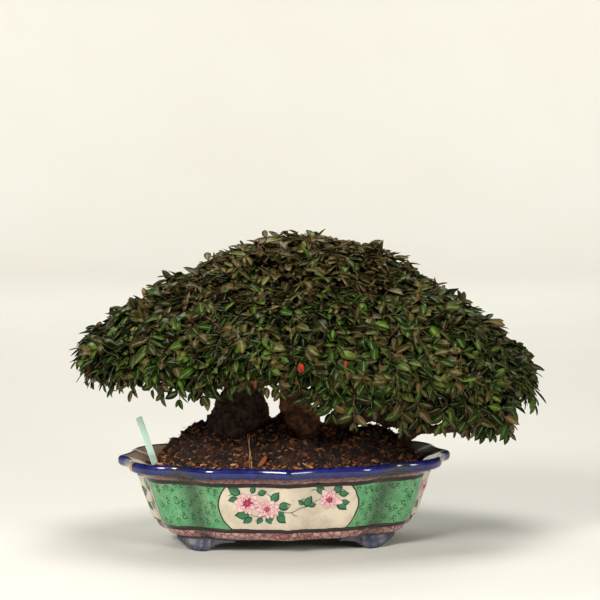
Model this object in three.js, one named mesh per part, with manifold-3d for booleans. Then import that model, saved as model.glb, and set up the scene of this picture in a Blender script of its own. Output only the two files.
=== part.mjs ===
// An asiatic jasmine bonsai: a low clump of three trunks under one broad dome of small paired leaves,
// growing from a mound of soil in a lobed, glazed pot on four bracket feet.
// Millimetres, +Z up. The origin is on the ground, under the middle of the whole tree and pot.
import * as THREE from "three";
import { mergeVertices } from "three/addons/utils/BufferGeometryUtils.js";
import Module from "manifold-3d";

const wasm = await Module();
wasm.setup();

// Driving dimensions of the pot. Half sizes are measured at the rim, from the centre to the pointed tips.
// Heights count from a level inside the feet, which reach below it to their soles.
const POT_HALF_LENGTH = 204;
const POT_HALF_DEPTH = 132;
const RIM_Z = 104;
const SOLE_Z = -4.5;
const POT_BASE_Z = 9.5;
const POT_FLOOR_Z = 18.5;
const DRAIN_RADIUS = 12;
const DRAIN_X = 62;

// A gap left wherever one piece is seated in another.
const SEAT_GAP = 0.35;

// Driving dimensions of the dome of leaves: an ellipse in plan, a flattened paraboloid in height.
const CANOPY_X = 25;
const CANOPY_HALF_LENGTH = 277;
const CANOPY_HALF_DEPTH = 178;
const CANOPY_TOP_Z = 363;
const CANOPY_EDGE_Z = 200;
const CANOPY_EDGE_FALL = 0.088;
const CANOPY_FRONT_LIFT = 18;
const CANOPY_THICKNESS = 32;

// The leaves are drawn larger than life, so that fewer of them cover the dome.
const LEAF_LENGTH = 50;
const LEAF_WIDTH = 21;
const LEAF_SUNK = 6;
const LEAF_RIB_HEIGHT = 2.2;
const LEAF_ARCH = 0.16;
const PAIR_HALF_GAP = 4;
const STEEP_SIDE_CROWDING = 0.04;
const PAIRS_ON_TOP = 180;
const PAIRS_AT_EDGE = 34;
const PAIRS_BELOW_EDGE = 30;
const LEAVES_UNDERNEATH = 12;
const GOLDEN_ANGLE = Math.PI * (3 - Math.sqrt(5));

// Repeatable random numbers from 0 to 1.
function seededRandom(seed) {
  let state = seed;
  return () => {
    state = (state + 0x6d2b79f5) | 0;
    let t = Math.imul(state ^ (state >>> 15), 1 | state);
    t = (t + Math.imul(t ^ (t >>> 7), 61 | t)) ^ t;
    return ((t ^ (t >>> 14)) >>> 0) / 4294967296;
  };
}

// A closed three.js geometry as a solid that can be joined and cut. Faces that point inwards are turned
// outwards.
function toSolid(geometry) {
  const bare = geometry.clone();
  bare.deleteAttribute("normal");
  bare.deleteAttribute("uv");
  const merged = mergeVertices(bare, 1e-4);
  const vertProperties = new Float32Array(merged.attributes.position.array);
  const triVerts = new Uint32Array(merged.index.array);
  const solid = new wasm.Manifold(new wasm.Mesh({ numProp: 3, vertProperties, triVerts }));
  if (solid.volume() > 0) {
    return solid;
  }
  for (let i = 0; i < triVerts.length; i += 3) {
    [triVerts[i + 1], triVerts[i + 2]] = [triVerts[i + 2], triVerts[i + 1]];
  }
  return new wasm.Manifold(new wasm.Mesh({ numProp: 3, vertProperties, triVerts }));
}

// The largest single body of a solid, as a three.js geometry.
function toGeometry(solid) {
  const bodies = solid.decompose();
  const largest = bodies.reduce((a, b) => (a.volume() > b.volume() ? a : b));
  const mesh = largest.getMesh();
  const geometry = new THREE.BufferGeometry();
  geometry.setAttribute("position", new THREE.BufferAttribute(mesh.vertProperties, 3));
  geometry.setIndex(new THREE.BufferAttribute(mesh.triVerts, 1));
  return geometry;
}

function joinAll(solids) {
  return solids.reduce((a, b) => a.add(b));
}

// One quarter of the rim seen from above, from the front tip to the right-hand tip: the long side runs out to
// a point in the middle like a bracket, and a rounded lobe takes each corner.
const RIM_QUARTER = [
  [0, -132],
  [30, -122],
  [62, -117.5],
  [92, -114],
  [114, -102],
  [130, -89],
  [152, -84],
  [174, -72],
  [187, -53],
  [190, -34],
  [195, -15],
  [204, 0],
];

// The rim all the way round, anticlockwise from the front tip, as points scaled to run from -1 to 1.
function rimOutline() {
  const mirrored = (xSign, ySign) => RIM_QUARTER.map(([x, y]) => [x * xSign, y * ySign]);
  const ring = [
    ...mirrored(1, 1).slice(0, -1),
    ...mirrored(1, -1).reverse().slice(0, -1),
    ...mirrored(-1, -1).slice(0, -1),
    ...mirrored(-1, 1).reverse().slice(0, -1),
  ];
  return ring.map(([x, y]) => [x / POT_HALF_LENGTH, y / POT_HALF_DEPTH]);
}

const OUTLINE = rimOutline();

// A solid whose level sections are the rim outline drawn in. Each level is [inset at the ends, inset at the
// front and back, height]. A point on the axis closes the first and last levels. bend moves each point.
function lobedSolid(levels, bend = (point) => point) {
  const rows = [[POT_HALF_LENGTH, POT_HALF_DEPTH, levels[0][2]], ...levels];
  rows.push([POT_HALF_LENGTH, POT_HALF_DEPTH, levels[levels.length - 1][2]]);
  const profile = rows.map(([inset, , z]) => new THREE.Vector2(POT_HALF_LENGTH - inset, z));
  const geometry = new THREE.LatheGeometry(profile, OUTLINE.length);
  const position = geometry.attributes.position;
  for (let i = 0; i < position.count; i++) {
    const [x, y] = OUTLINE[Math.floor(i / rows.length) % OUTLINE.length];
    const [insetX, insetY, z] = rows[i % rows.length];
    const point = new THREE.Vector3(x * (POT_HALF_LENGTH - insetX), y * (POT_HALF_DEPTH - insetY), z);
    position.setXYZ(i, ...bend(point).toArray());
  }
  return toSolid(geometry);
}

// Levels of the pot, up its outside, over the rounded lip and down its inside.
const POT_OUTSIDE = [
  [72, 52, POT_BASE_Z],
  [56, 43, 12.5],
  [46, 37, 23.5],
  [41, 33, 28.5],
  [23, 19, 80],
  [16, 14, 87],
  [2, 2, 92.5],
  [0, 0, 98],
  [5, 5, RIM_Z],
];
const POT_INSIDE = [
  [10, 9, 102.5],
  [29, 25, 94],
  [52, 42, 28.5],
  [66, 52, POT_FLOOR_Z],
];

// A bracket foot: a curved wall that follows the base round one corner, with a lower edge that sweeps up to a
// wing at each side. The toe between the wings stands nearer to the long side. xSign and ySign choose the
// corner.
function bracketFoot(xSign, ySign) {
  const steps = 20;
  const toeMiddle = 0.45;
  const firstPoint = 3;
  const lastPoint = 9;
  const baseScaleX = (POT_HALF_LENGTH - 62) / POT_HALF_LENGTH;
  const baseScaleY = (POT_HALF_DEPTH - 46) / POT_HALF_DEPTH;
  const wall = 13;
  const topZ = POT_BASE_Z + 5;
  const wingZ = POT_BASE_Z - 1.5;
  const path = new THREE.SplineCurve(
    RIM_QUARTER.slice(firstPoint, lastPoint + 1).map(
      ([x, y]) => new THREE.Vector2(x * baseScaleX, y * baseScaleY),
    ),
  );
  // The box is bent: its length follows the path, its depth is the wall and its height the foot.
  const geometry = new THREE.BoxGeometry(1, 1, 1, steps, 1, 1);
  const position = geometry.attributes.position;
  for (let i = 0; i < position.count; i++) {
    const along = position.getX(i) + 0.5;
    const outside = position.getY(i) < 0;
    const top = position.getZ(i) > 0;
    const reach = along < toeMiddle ? toeMiddle : 1 - toeMiddle;
    const sole = Math.min(1, (1 - Math.abs(along - toeMiddle) / reach) / 0.8);
    const toe = Math.pow(Math.max(0, sole), 1.1);
    const point = path.getPoint(along);
    const tangent = path.getTangent(along);
    const outwards = new THREE.Vector2(tangent.y, -tangent.x);
    const flare = top ? 1 : 1 + 4 * toe;
    point.addScaledVector(outwards, outside ? flare : flare - wall * (0.55 + 0.45 * toe));
    const lowZ = THREE.MathUtils.lerp(wingZ, SOLE_Z, toe);
    position.setXYZ(i, point.x * xSign, point.y * ySign, top ? topZ : lowZ);
  }
  return toSolid(geometry);
}

function drainHole(x) {
  const length = 40;
  const geometry = new THREE.CylinderGeometry(DRAIN_RADIUS, DRAIN_RADIUS, length, 16);
  geometry.rotateX(Math.PI / 2);
  geometry.translate(x, 0, POT_FLOOR_Z);
  return toSolid(geometry);
}

function buildPot() {
  const feet = [1, -1].flatMap((x) => [1, -1].map((y) => bracketFoot(x, y)));
  const bowl = lobedSolid([...POT_OUTSIDE, ...POT_INSIDE]);
  return joinAll([bowl, ...feet]).subtract(drainHole(DRAIN_X)).subtract(drainHole(-DRAIN_X));
}

// A square of plastic drainage mesh that lies over a hole in the pot's floor.
const SCREEN_SIZE = 34;
const SCREEN_THICKNESS = 1.6;
const SCREEN_HOLE = 12;

function box(width, depth, height, x, y, bottomZ) {
  const geometry = new THREE.BoxGeometry(width, depth, height);
  geometry.translate(x, y, bottomZ + height / 2);
  return toSolid(geometry);
}

function buildScreen(x) {
  const bottomZ = POT_FLOOR_Z + SEAT_GAP;
  const offset = SCREEN_HOLE / 2 + 1.2;
  const holes = [1, -1].flatMap((i) =>
    [1, -1].map((j) => box(SCREEN_HOLE, SCREEN_HOLE, 10, x + i * offset, j * offset, bottomZ - 5)),
  );
  return box(SCREEN_SIZE, SCREEN_SIZE, SCREEN_THICKNESS, x, 0, bottomZ).subtract(joinAll(holes));
}

function screenRecess(x) {
  const size = SCREEN_SIZE + 2 * SEAT_GAP;
  return box(size, size, 3, x, 0, POT_FLOOR_Z + 2 * SEAT_GAP + SCREEN_THICKNESS - 3);
}

// The plant label: a flat plastic stake with a pointed foot, leaning left at the front left of the soil.
const LABEL_WIDTH = 9;
const LABEL_LENGTH = 89;
const LABEL_THICKNESS = 1;
const LABEL_TIP = [-149, -32, 70];
const LABEL_LEAN = THREE.MathUtils.degToRad(15);
const LABEL_TURN = THREE.MathUtils.degToRad(34);

function labelStake(grow = 0) {
  const half = LABEL_WIDTH / 2 + grow;
  const shoulder = 14;
  const shape = new THREE.Shape([
    new THREE.Vector2(-1.2 - grow, -grow),
    new THREE.Vector2(1.2 + grow, -grow),
    new THREE.Vector2(half, shoulder),
    new THREE.Vector2(half, LABEL_LENGTH + grow),
    new THREE.Vector2(-half, LABEL_LENGTH + grow),
    new THREE.Vector2(-half, shoulder),
  ]);
  const depth = LABEL_THICKNESS + 2 * grow;
  const geometry = new THREE.ExtrudeGeometry(shape, { depth, bevelEnabled: false });
  geometry.translate(0, 0, -depth / 2);
  geometry.rotateX(Math.PI / 2);
  geometry.rotateZ(LABEL_TURN);
  geometry.rotateY(-LABEL_LEAN);
  geometry.translate(...LABEL_TIP);
  return geometry;
}

// A tapered limb: a cylinder bent along a smooth curve through the points, which are [x, y, z, radius].
// grow enlarges it for the hole that it stands in.
function limb(points, sides, steps, grow = 0) {
  const curve = new THREE.CatmullRomCurve3(points.map(([x, y, z]) => new THREE.Vector3(x, y, z)));
  const frames = curve.computeFrenetFrames(steps);
  const geometry = new THREE.CylinderGeometry(1, 1, 1, sides, steps);
  const position = geometry.attributes.position;
  for (let i = 0; i < position.count; i++) {
    const share = 0.5 - position.getY(i);
    const step = Math.round(share * steps);
    const stretch = share * (points.length - 1);
    const before = Math.min(Math.floor(stretch), points.length - 2);
    const radius = THREE.MathUtils.lerp(points[before][3], points[before + 1][3], stretch - before);
    const place = curve.getPoint(share);
    const end = step === 0 ? -1 : step === steps ? 1 : 0;
    place.addScaledVector(frames.tangents[step], end * grow);
    place.addScaledVector(frames.normals[step], position.getX(i) * (radius + grow));
    place.addScaledVector(frames.binormals[step], position.getZ(i) * (radius + grow));
    position.setXYZ(i, place.x, place.y, place.z);
  }
  return toSolid(geometry);
}

// The dome's shape. rho runs from 0 at its middle to 1 at its edge, and angle anticlockwise from the right.
function edgeHeight(x, y) {
  const across = y / CANOPY_HALF_DEPTH;
  return CANOPY_EDGE_Z - CANOPY_EDGE_FALL * (x - CANOPY_X) + CANOPY_FRONT_LIFT * across * across;
}

function canopyPlan(rho, angle) {
  const waver =
    0.022 * Math.sin(3 * angle + 1) + 0.016 * Math.sin(7 * angle) + 0.012 * Math.sin(11 * angle + 2);
  const reach = rho * (1 + waver);
  return [
    CANOPY_X + CANOPY_HALF_LENGTH * reach * Math.cos(angle),
    CANOPY_HALF_DEPTH * reach * Math.sin(angle),
  ];
}

// A point of the surface that the leaves stand out of: side is "top" or "under".
function canopyPoint(rho, angle, side = "top") {
  const [x, y] = canopyPlan(rho, angle);
  const edge = edgeHeight(x, y);
  const rise = (CANOPY_TOP_Z - edge) * Math.pow(Math.max(0, 1 - Math.pow(rho, 1.75)), 0.9);
  const bump = 3.2 * Math.sin(x / 23 + 1) * Math.cos(y / 19) + 2.4 * Math.sin(x / 11 + y / 13);
  if (side === "top") {
    return new THREE.Vector3(x, y, edge + rise + bump * (1 - rho * rho));
  }
  const droop = (8 + 0.07 * (x + 250)) * Math.pow(rho, 3);
  const inside = Math.max(0, 1 - rho * rho);
  return new THREE.Vector3(x, y, edge + rise - droop - CANOPY_THICKNESS * Math.sqrt(inside) + bump * inside);
}

// The whole dome as one shell, down from its top to the edge and back underneath to the middle.
function canopyShell() {
  const rings = [0, 0.3, 0.55, 0.77, 0.92, 1];
  const under = [0.96, 0.8, 0.45, 0];
  const rows = [...rings.map((r) => [r, "top"]), ...under.map((r) => [r, "under"])];
  const profile = rows.map(([r, side]) => new THREE.Vector2(r, side === "top" ? 1 - r : r - 2));
  const segments = 32;
  const geometry = new THREE.LatheGeometry(profile, segments);
  const position = geometry.attributes.position;
  for (let i = 0; i < position.count; i++) {
    const [rho, side] = rows[i % rows.length];
    const segment = Math.floor(i / rows.length) % segments;
    const point = canopyPoint(rho, (segment / segments) * 2 * Math.PI, side);
    position.setXYZ(i, point.x, point.y, point.z);
  }
  return toSolid(geometry);
}

// Each leafy branch fills one cell of the dome: a crown, a ring of shoulders and a ring of skirts.
function leafyBranches() {
  const branches = [{ name: "leafy_branch_crown", rho: 0, angle: 0 }];
  const addRing = (word, count, rho, turn) => {
    for (let i = 0; i < count; i++) {
      const angle = ((i + turn) / count) * 2 * Math.PI;
      branches.push({ name: `leafy_branch_${word}_${i + 1}`, rho, angle });
    }
  };
  addRing("shoulder", 5, 0.5, 0.25);
  addRing("skirt", 9, 0.88, 0);
  for (const branch of branches) {
    branch.seed = [branch.rho * Math.cos(branch.angle), branch.rho * Math.sin(branch.angle)];
  }
  return branches;
}

// The upright planes that wall a branch's cell off from the others: [normal, distance from the origin].
function cellWalls(branch, branches) {
  const gap = SEAT_GAP + 0.15;
  return branches
    .filter((other) => other !== branch)
    .map((other) => {
      const [ax, ay] = branch.seed;
      const [bx, by] = other.seed;
      const normal = new THREE.Vector3((ax - bx) / CANOPY_HALF_LENGTH, (ay - by) / CANOPY_HALF_DEPTH, 0);
      normal.normalize();
      const middle = new THREE.Vector3(
        CANOPY_X + ((ax + bx) / 2) * CANOPY_HALF_LENGTH,
        ((ay + by) / 2) * CANOPY_HALF_DEPTH,
        0,
      );
      return { normal, offset: middle.dot(normal) + gap };
    });
}

function branchAt(point, branches) {
  const x = (point.x - CANOPY_X) / CANOPY_HALF_LENGTH;
  const y = point.y / CANOPY_HALF_DEPTH;
  const distance = (b) => (b.seed[0] - x) ** 2 + (b.seed[1] - y) ** 2;
  return branches.reduce((a, b) => (distance(a) < distance(b) ? a : b));
}

// One leaf along +X with its upper face to +Z: widest before its middle, raised along its rib and arched down
// to the tip. The stalk end reaches LEAF_SUNK behind the origin. grow thickens it all round.
function leafBlade(length, width, grow) {
  const point = (along, across, raised) => [
    along * length + (along === 1 ? grow : 0),
    across * width + Math.sign(across) * 2 * grow,
    raised * (LEAF_RIB_HEIGHT + grow) - LEAF_ARCH * along * along * length - (1 - raised) * grow,
  ];
  const points = [
    [-LEAF_SUNK, 0, 0],
    point(0.32, 0.5, 0),
    point(0.32, 0, 1),
    point(0.32, -0.5, 0),
    point(0.7, 0.4, 0),
    point(0.7, 0, 1),
    point(0.7, -0.4, 0),
    point(1, 0, 0),
  ];
  const faces = [];
  for (let i = 0; i < 3; i++) {
    const next = (i + 1) % 3;
    faces.push(0, 1 + next, 1 + i);
    faces.push(1 + i, 1 + next, 4 + next, 1 + i, 4 + next, 4 + i);
    faces.push(4 + i, 4 + next, 7);
  }
  const geometry = new THREE.BufferGeometry();
  geometry.setAttribute("position", new THREE.BufferAttribute(new Float32Array(points.flat()), 3));
  geometry.setIndex(faces);
  return geometry;
}

// Every leaf's place: where its stalk meets the shell, which way it points and which way its upper face
// looks.
function leafPlaces() {
  const random = seededRandom(1207);
  const places = [];
  const jitter = (size) => (random() - 0.5) * 2 * size;
  const addPair = (rho, angle, side, spread, lift, hang, swing = 0) => {
    const point = canopyPoint(rho, angle, side);
    const down = canopyPoint(rho + 0.02, angle, side).sub(canopyPoint(rho - 0.02, angle, side));
    const round = canopyPoint(rho, angle + 0.02, side).sub(canopyPoint(rho, angle - 0.02, side));
    const normal = down.clone().cross(round).normalize();
    if ((side === "top") !== normal.z > 0) normal.negate();
    down.normalize();
    for (const sign of spread === 0 ? [0] : [1, -1]) {
      const beside = down.clone().applyAxisAngle(normal, swing + Math.PI / 2);
      const start = point.clone().addScaledVector(beside, sign * PAIR_HALF_GAP);
      const yaw = swing + sign * spread + jitter(0.25);
      const size = 0.88 + 0.24 * random();
      places.push({ point: start, normal, down, yaw, lift: lift + jitter(0.08), hang, size });
    }
  };
  for (let i = 0; i < PAIRS_ON_TOP; i++) {
    const rho = 0.96 * Math.pow((i + 0.5) / PAIRS_ON_TOP, 0.47);
    const swing = jitter(Math.PI) * Math.max(0, 1 - rho / 0.35);
    const round = i * GOLDEN_ANGLE + jitter(0.04);
    addPair(rho, round + STEEP_SIDE_CROWDING * Math.sin(2 * round), "top", 0.75, 0.3, 0, swing);
  }
  for (let i = 0; i < PAIRS_AT_EDGE; i++) {
    addPair(0.975, ((i + 0.3 + jitter(0.15)) / PAIRS_AT_EDGE) * 2 * Math.PI, "top", 0.5, 0.12, 0.55);
  }
  for (let i = 0; i < PAIRS_BELOW_EDGE; i++) {
    const round = ((i + jitter(0.2)) / PAIRS_BELOW_EDGE) * 2 * Math.PI;
    addPair(0.98, round, "under", 0.35, 0.2, 0.5 + 0.25 * Math.cos(round));
  }
  for (let i = 0; i < LEAVES_UNDERNEATH; i++) {
    const rho = 0.4 + 0.4 * Math.sqrt((i + 0.5) / LEAVES_UNDERNEATH);
    addPair(rho, i * GOLDEN_ANGLE, "under", 0, 0.4, 0.3);
  }
  return places;
}

// The leaf in its place, turned and raised a little more if asked. A place's hang, from 0 to 1, takes it from
// lying along the dome to hanging nearly straight down.
function setLeaf(place, turn, raise, grow) {
  const lift = place.lift + raise;
  const flat = place.down.clone().applyAxisAngle(place.normal, place.yaw + turn);
  const axis = flat.clone().multiplyScalar(Math.cos(lift)).addScaledVector(place.normal, Math.sin(lift));
  axis.lerp(new THREE.Vector3(0, 0, -1), 0.75 * place.hang).normalize();
  const face = place.normal.clone();
  face.addScaledVector(axis, -face.dot(axis)).normalize();
  const side = face.clone().cross(axis);
  const matrix = new THREE.Matrix4().makeBasis(axis, side, face).setPosition(place.point);
  return toSolid(leafBlade(LEAF_LENGTH * place.size, LEAF_WIDTH * place.size, grow).applyMatrix4(matrix));
}

function boxOf(solid) {
  const { min, max } = solid.boundingBox();
  return new THREE.Box3(new THREE.Vector3(...min), new THREE.Vector3(...max));
}

// Sets the leaves one after another. Each takes the first turn that clears every other leaf, or else the
// first that at least clears the other branches and the label, or else it is left off.
function growLeaves(branches, cores, label) {
  const turns = [0, 0.3, -0.3, 0.6, -0.6, 1, -1];
  const attempts = [0, 0.13, 0.26].flatMap((raise) => turns.map((turn) => [turn, raise]));
  const standing = branches.map((branch, i) => ({ owner: branch, isCore: true, solid: cores[i] }));
  standing.push({ owner: null, isCore: true, solid: label });
  standing.forEach((item) => (item.box = boxOf(item.solid)));
  const clears = (solid, items) => {
    const box = boxOf(solid);
    return items.every((item) => !box.intersectsBox(item.box) || solid.intersect(item.solid).isEmpty());
  };
  for (const place of leafPlaces()) {
    const owner = branchAt(place.point, branches);
    const strangers = standing.filter((item) => item.owner !== owner);
    const siblings = standing.filter((item) => item.owner === owner && !item.isCore);
    const possible = attempts.filter((attempt) => clears(setLeaf(place, ...attempt, 0.5), strangers));
    const chosen = possible.find((attempt) => clears(setLeaf(place, ...attempt, 0), siblings)) ?? possible[0];
    if (chosen) {
      const solid = setLeaf(place, ...chosen, 0);
      standing.push({ owner, isCore: false, solid, box: boxOf(solid) });
    }
  }
  return standing;
}

// The limb that carries each leafy branch leaves the trunk nearest to it, runs under the dome and rises into
// it.
const FORKS = [
  [-48, 4, 214, 15],
  [18, 20, 232, 13],
  [96, -2, 168, 11],
];

function carryingLimb(branch) {
  const topZ = canopyPoint(branch.rho, branch.angle).z;
  const underZ = canopyPoint(branch.rho, branch.angle, "under").z;
  const [x, y] = canopyPlan(branch.rho === 0 ? 0 : branch.rho * 0.97, branch.angle);
  const away = (fork) => Math.hypot(fork[0] - x, fork[1] - y);
  const fork = FORKS.reduce((a, b) => (away(a) < away(b) ? a : b));
  const endZ = underZ + 0.62 * (topZ - underZ);
  const bend = [
    THREE.MathUtils.lerp(fork[0], x, 0.6),
    THREE.MathUtils.lerp(fork[1], y, 0.6),
    Math.min(underZ - 10, THREE.MathUtils.lerp(fork[2], underZ, 0.55)),
  ];
  return [
    [...fork.slice(0, 3), fork[3] * 0.62],
    [...bend, 6],
    [x, y, endZ, 3.2],
  ];
}

// The three trunks, their surface roots and the limbs.
function woodParts(branches) {
  const trunks = [
    [[-56, 0, 96, 36], [-54, -1, 136, 41], [-51, 0, 164, 31], [-46, 3, 190, 22], FORKS[0]],
    [[16, 2, 96, 26], [18, 1, 134, 27], [12, 6, 162, 20], [10, 14, 200, 15], FORKS[1]],
    [[48, 0, 112, 14], [62, 0, 140, 15], [82, -1, 155, 13], FORKS[2]],
    [[96, -2, 168, 10], [130, -3, 148, 10.5], [166, -5, 128, 10], [205, -4, 127, 8.5], [252, -1, 131, 6]],
    [[118, -8, 92, 10], [134, -7, 110, 10], [152, -6, 124, 9], [176, -5, 128, 8]],
  ];
  const roots = [
    [[-60, -10, 140, 18], [-88, -24, 136, 13], [-108, -30, 122, 8]],
    [[-52, -14, 138, 17], [-40, -42, 132, 11], [-34, -58, 118, 7]],
    [[22, -8, 138, 15], [36, -34, 128, 10], [44, -52, 112, 6]],
    [[-58, 14, 140, 17], [-70, 40, 132, 11], [-82, 56, 116, 7]],
    [[24, 12, 138, 15], [44, 38, 126, 10], [58, 54, 110, 6]],
  ];
  const rootMass = [[-66, 0, 108, 18], [20, 4, 104, 20], [124, -6, 102, 14]];
  const limbs = branches.map(carryingLimb);
  return { trunks, roots: [...roots, rootMass], limbs };
}

function buildWood(branches, grow = 0) {
  const { trunks, roots, limbs } = woodParts(branches);
  return joinAll([
    ...trunks.map((points) => limb(points, 7, 4, grow)),
    ...roots.map((points) => limb(points, 5, 2, grow)),
    ...limbs.map((points) => limb(points, 5, 2, grow)),
  ]);
}

// The soil: it fills the pot nearly to the rim and is heaped up round the trunks, highest on the left.
function buildSoil(woodHole) {
  const levels = [
    ...POT_INSIDE.slice(1)
      .reverse()
      .map(([insetX, insetY, z]) => [insetX + SEAT_GAP, insetY + SEAT_GAP, z]),
    [44, 38, 100],
    [64, 54, 124],
    [92, 76, 140],
    [146, 104, 145],
  ];
  levels[0][2] += SEAT_GAP;
  const heap = (point) => {
    const share = THREE.MathUtils.clamp((point.z - 95) / 40, 0, 1);
    const crumbs = 3.5 * Math.sin(point.x / 9) * Math.cos(point.y / 8);
    const lumps = crumbs + 2.5 * Math.sin(point.x / 21 + point.y / 15);
    point.x += 11 * share;
    point.z += share * (lumps - 0.035 * (point.x + 90));
    return point;
  };
  return lobedSolid(levels, heap)
    .subtract(woodHole)
    .subtract(toSolid(labelStake(SEAT_GAP)))
    .subtract(screenRecess(DRAIN_X))
    .subtract(screenRecess(-DRAIN_X));
}

// The part of the shell that lies inside one branch's cell.
function branchCore(branch, branches, shell) {
  return cellWalls(branch, branches).reduce(
    (solid, wall) => solid.trimByPlane(wall.normal.toArray(), wall.offset),
    shell,
  );
}

const MATERIALS = {
  pot: new THREE.MeshStandardMaterial({ color: 0xe4dac6, roughness: 0.2, metalness: 0 }),
  soil: new THREE.MeshStandardMaterial({ color: 0x2a1a12, roughness: 0.95, metalness: 0 }),
  bark: new THREE.MeshStandardMaterial({ color: 0x3a2a20, roughness: 0.85, metalness: 0 }),
  leaf: new THREE.MeshStandardMaterial({ color: 0x33491f, roughness: 0.45, metalness: 0 }),
  label: new THREE.MeshStandardMaterial({ color: 0xb5dcc0, roughness: 0.5, metalness: 0 }),
  screen: new THREE.MeshStandardMaterial({ color: 0x1d1d1d, roughness: 0.6, metalness: 0 }),
};

const bonsai = new THREE.Group();

function addNode(name, geometry, material) {
  const mesh = new THREE.Mesh(geometry, material);
  mesh.name = name;
  bonsai.add(mesh);
}

const branches = leafyBranches();
const wood = buildWood(branches);
const woodHole = buildWood(branches, SEAT_GAP);

addNode("pot", toGeometry(buildPot()), MATERIALS.pot);
addNode("soil", toGeometry(buildSoil(woodHole)), MATERIALS.soil);
addNode("trunk", toGeometry(wood), MATERIALS.bark);
addNode("plant_label", labelStake(), MATERIALS.label);
addNode("drain_screen_right", toGeometry(buildScreen(DRAIN_X)), MATERIALS.screen);
addNode("drain_screen_left", toGeometry(buildScreen(-DRAIN_X)), MATERIALS.screen);

const cores = branches.map((branch) => branchCore(branch, branches, canopyShell()));
const standing = growLeaves(branches, cores, toSolid(labelStake(SEAT_GAP)));
for (const branch of branches) {
  const solids = standing.filter((item) => item.owner === branch).map((item) => item.solid);
  addNode(branch.name, toGeometry(joinAll(solids).subtract(woodHole)), MATERIALS.leaf);
}

// The origin goes on the ground under the middle of the whole object.
const bounds = new THREE.Box3().setFromObject(bonsai);
bonsai.position.set(-(bounds.min.x + bounds.max.x) / 2, -(bounds.min.y + bounds.max.y) / 2, -SOLE_Z);

export default bonsai;
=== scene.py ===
"""Dresses the potted asiatic jasmine bonsai.

The pieces are modelled in millimetres about the middle of the pot's base, with +X to the right and -Y to the
front. Each is carried into the part's own frame, in metres, when it is finished.
"""

import logging
import math
import random
from collections.abc import Sequence
from dataclasses import dataclass, field
from enum import Enum

import bmesh
import bpy
import numpy as np
from bmesh.types import BMEdge, BMesh, BMFace, BMVert
from bpy.types import Material, Mesh, Node, NodeSocket, NodeTree, Object
from mathutils import Matrix, Vector, noise


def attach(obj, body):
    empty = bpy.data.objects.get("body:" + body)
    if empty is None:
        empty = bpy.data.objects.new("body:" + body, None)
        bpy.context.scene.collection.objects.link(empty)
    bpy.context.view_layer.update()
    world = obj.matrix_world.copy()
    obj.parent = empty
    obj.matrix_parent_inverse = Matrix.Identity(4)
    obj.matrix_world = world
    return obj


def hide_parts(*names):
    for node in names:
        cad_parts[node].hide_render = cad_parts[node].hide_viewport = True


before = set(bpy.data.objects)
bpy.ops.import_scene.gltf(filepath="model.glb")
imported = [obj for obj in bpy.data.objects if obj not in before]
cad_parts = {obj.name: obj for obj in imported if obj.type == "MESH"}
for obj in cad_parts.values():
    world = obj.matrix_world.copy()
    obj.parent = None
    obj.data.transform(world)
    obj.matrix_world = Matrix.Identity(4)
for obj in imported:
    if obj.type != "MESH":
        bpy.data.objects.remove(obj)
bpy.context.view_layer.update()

LOG = logging.getLogger("bonsai")
SEED = 1207
# Where the middle of the pot stands in the part's frame, in millimetres. The soles of its feet are at SOLE.
SOLE = -4.5
POT_MIDDLE = Vector((-17.451, 0.822, -SOLE))
TO_PART = Matrix.Scale(0.001, 4) @ Matrix.Translation(POT_MIDDLE)
GOLDEN_ANGLE = math.pi * (3 - math.sqrt(5))


# ---- small tools


def linear(colour: str) -> tuple[float, float, float, float]:
    """Turns an sRGB hex colour into linear red, green, blue and alpha."""
    parts = [int(colour[i : i + 2], 16) / 255 for i in (1, 3, 5)]
    r, g, b = (c / 12.92 if c <= 0.04045 else ((c + 0.055) / 1.055) ** 2.4 for c in parts)
    return r, g, b, 1.0


def per_mm(size: float) -> float:
    """Gives the scale, on coordinates in metres, of a pattern whose features are size millimetres apart."""
    return 1000.0 / size


def main_output(node: Node) -> NodeSocket:
    """Gives a node's main output. A Mix node's colour is its third."""
    return node.outputs[2 if node.bl_idname == "ShaderNodeMix" else 0]


def add(
    tree: NodeTree, kind: str, sockets: dict[str | int, object] | None = None, **settings: object
) -> Node:
    """Adds one shader node with its settings and links. A Mix node mixes colours.

    Args:
        tree: The node tree to add to.
        kind: The node's type, without ShaderNode in front.
        sockets: What each input gets, by its name or number: a value, a hex colour, an output socket, or a
            node, which gives its main output.
        settings: Values of the node's own properties.

    Returns:
        The new node.
    """
    node = tree.nodes.new("ShaderNode" + kind)
    if kind == "Mix":
        node.data_type = "RGBA"
    for name, value in settings.items():
        setattr(node, name, value)
    for key, value in (sockets or {}).items():
        if isinstance(value, Node):
            value = main_output(value)
        if isinstance(value, NodeSocket):
            tree.links.new(value, node.inputs[key])
        else:
            node.inputs[key].default_value = linear(value) if isinstance(value, str) else value
    return node


def set_stops(ramp: Node, stops: Sequence[tuple[float, str]], sharp: bool = False) -> None:
    """Gives a colour ramp its stops.

    Args:
        ramp: The ramp.
        stops: Each a place from 0 to 1 and a hex colour.
        sharp: Whether the colours meet without blending.
    """
    elements = ramp.color_ramp.elements
    if sharp:
        ramp.color_ramp.interpolation = "CONSTANT"
    while len(elements) < len(stops):
        elements.new(0.5)
    for element, (place, colour) in zip(elements, stops):
        element.position = place
        element.color = linear(colour)


def clamp(value: float) -> float:
    """Holds a value between 0 and 1."""
    return min(1.0, max(0.0, value))


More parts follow.
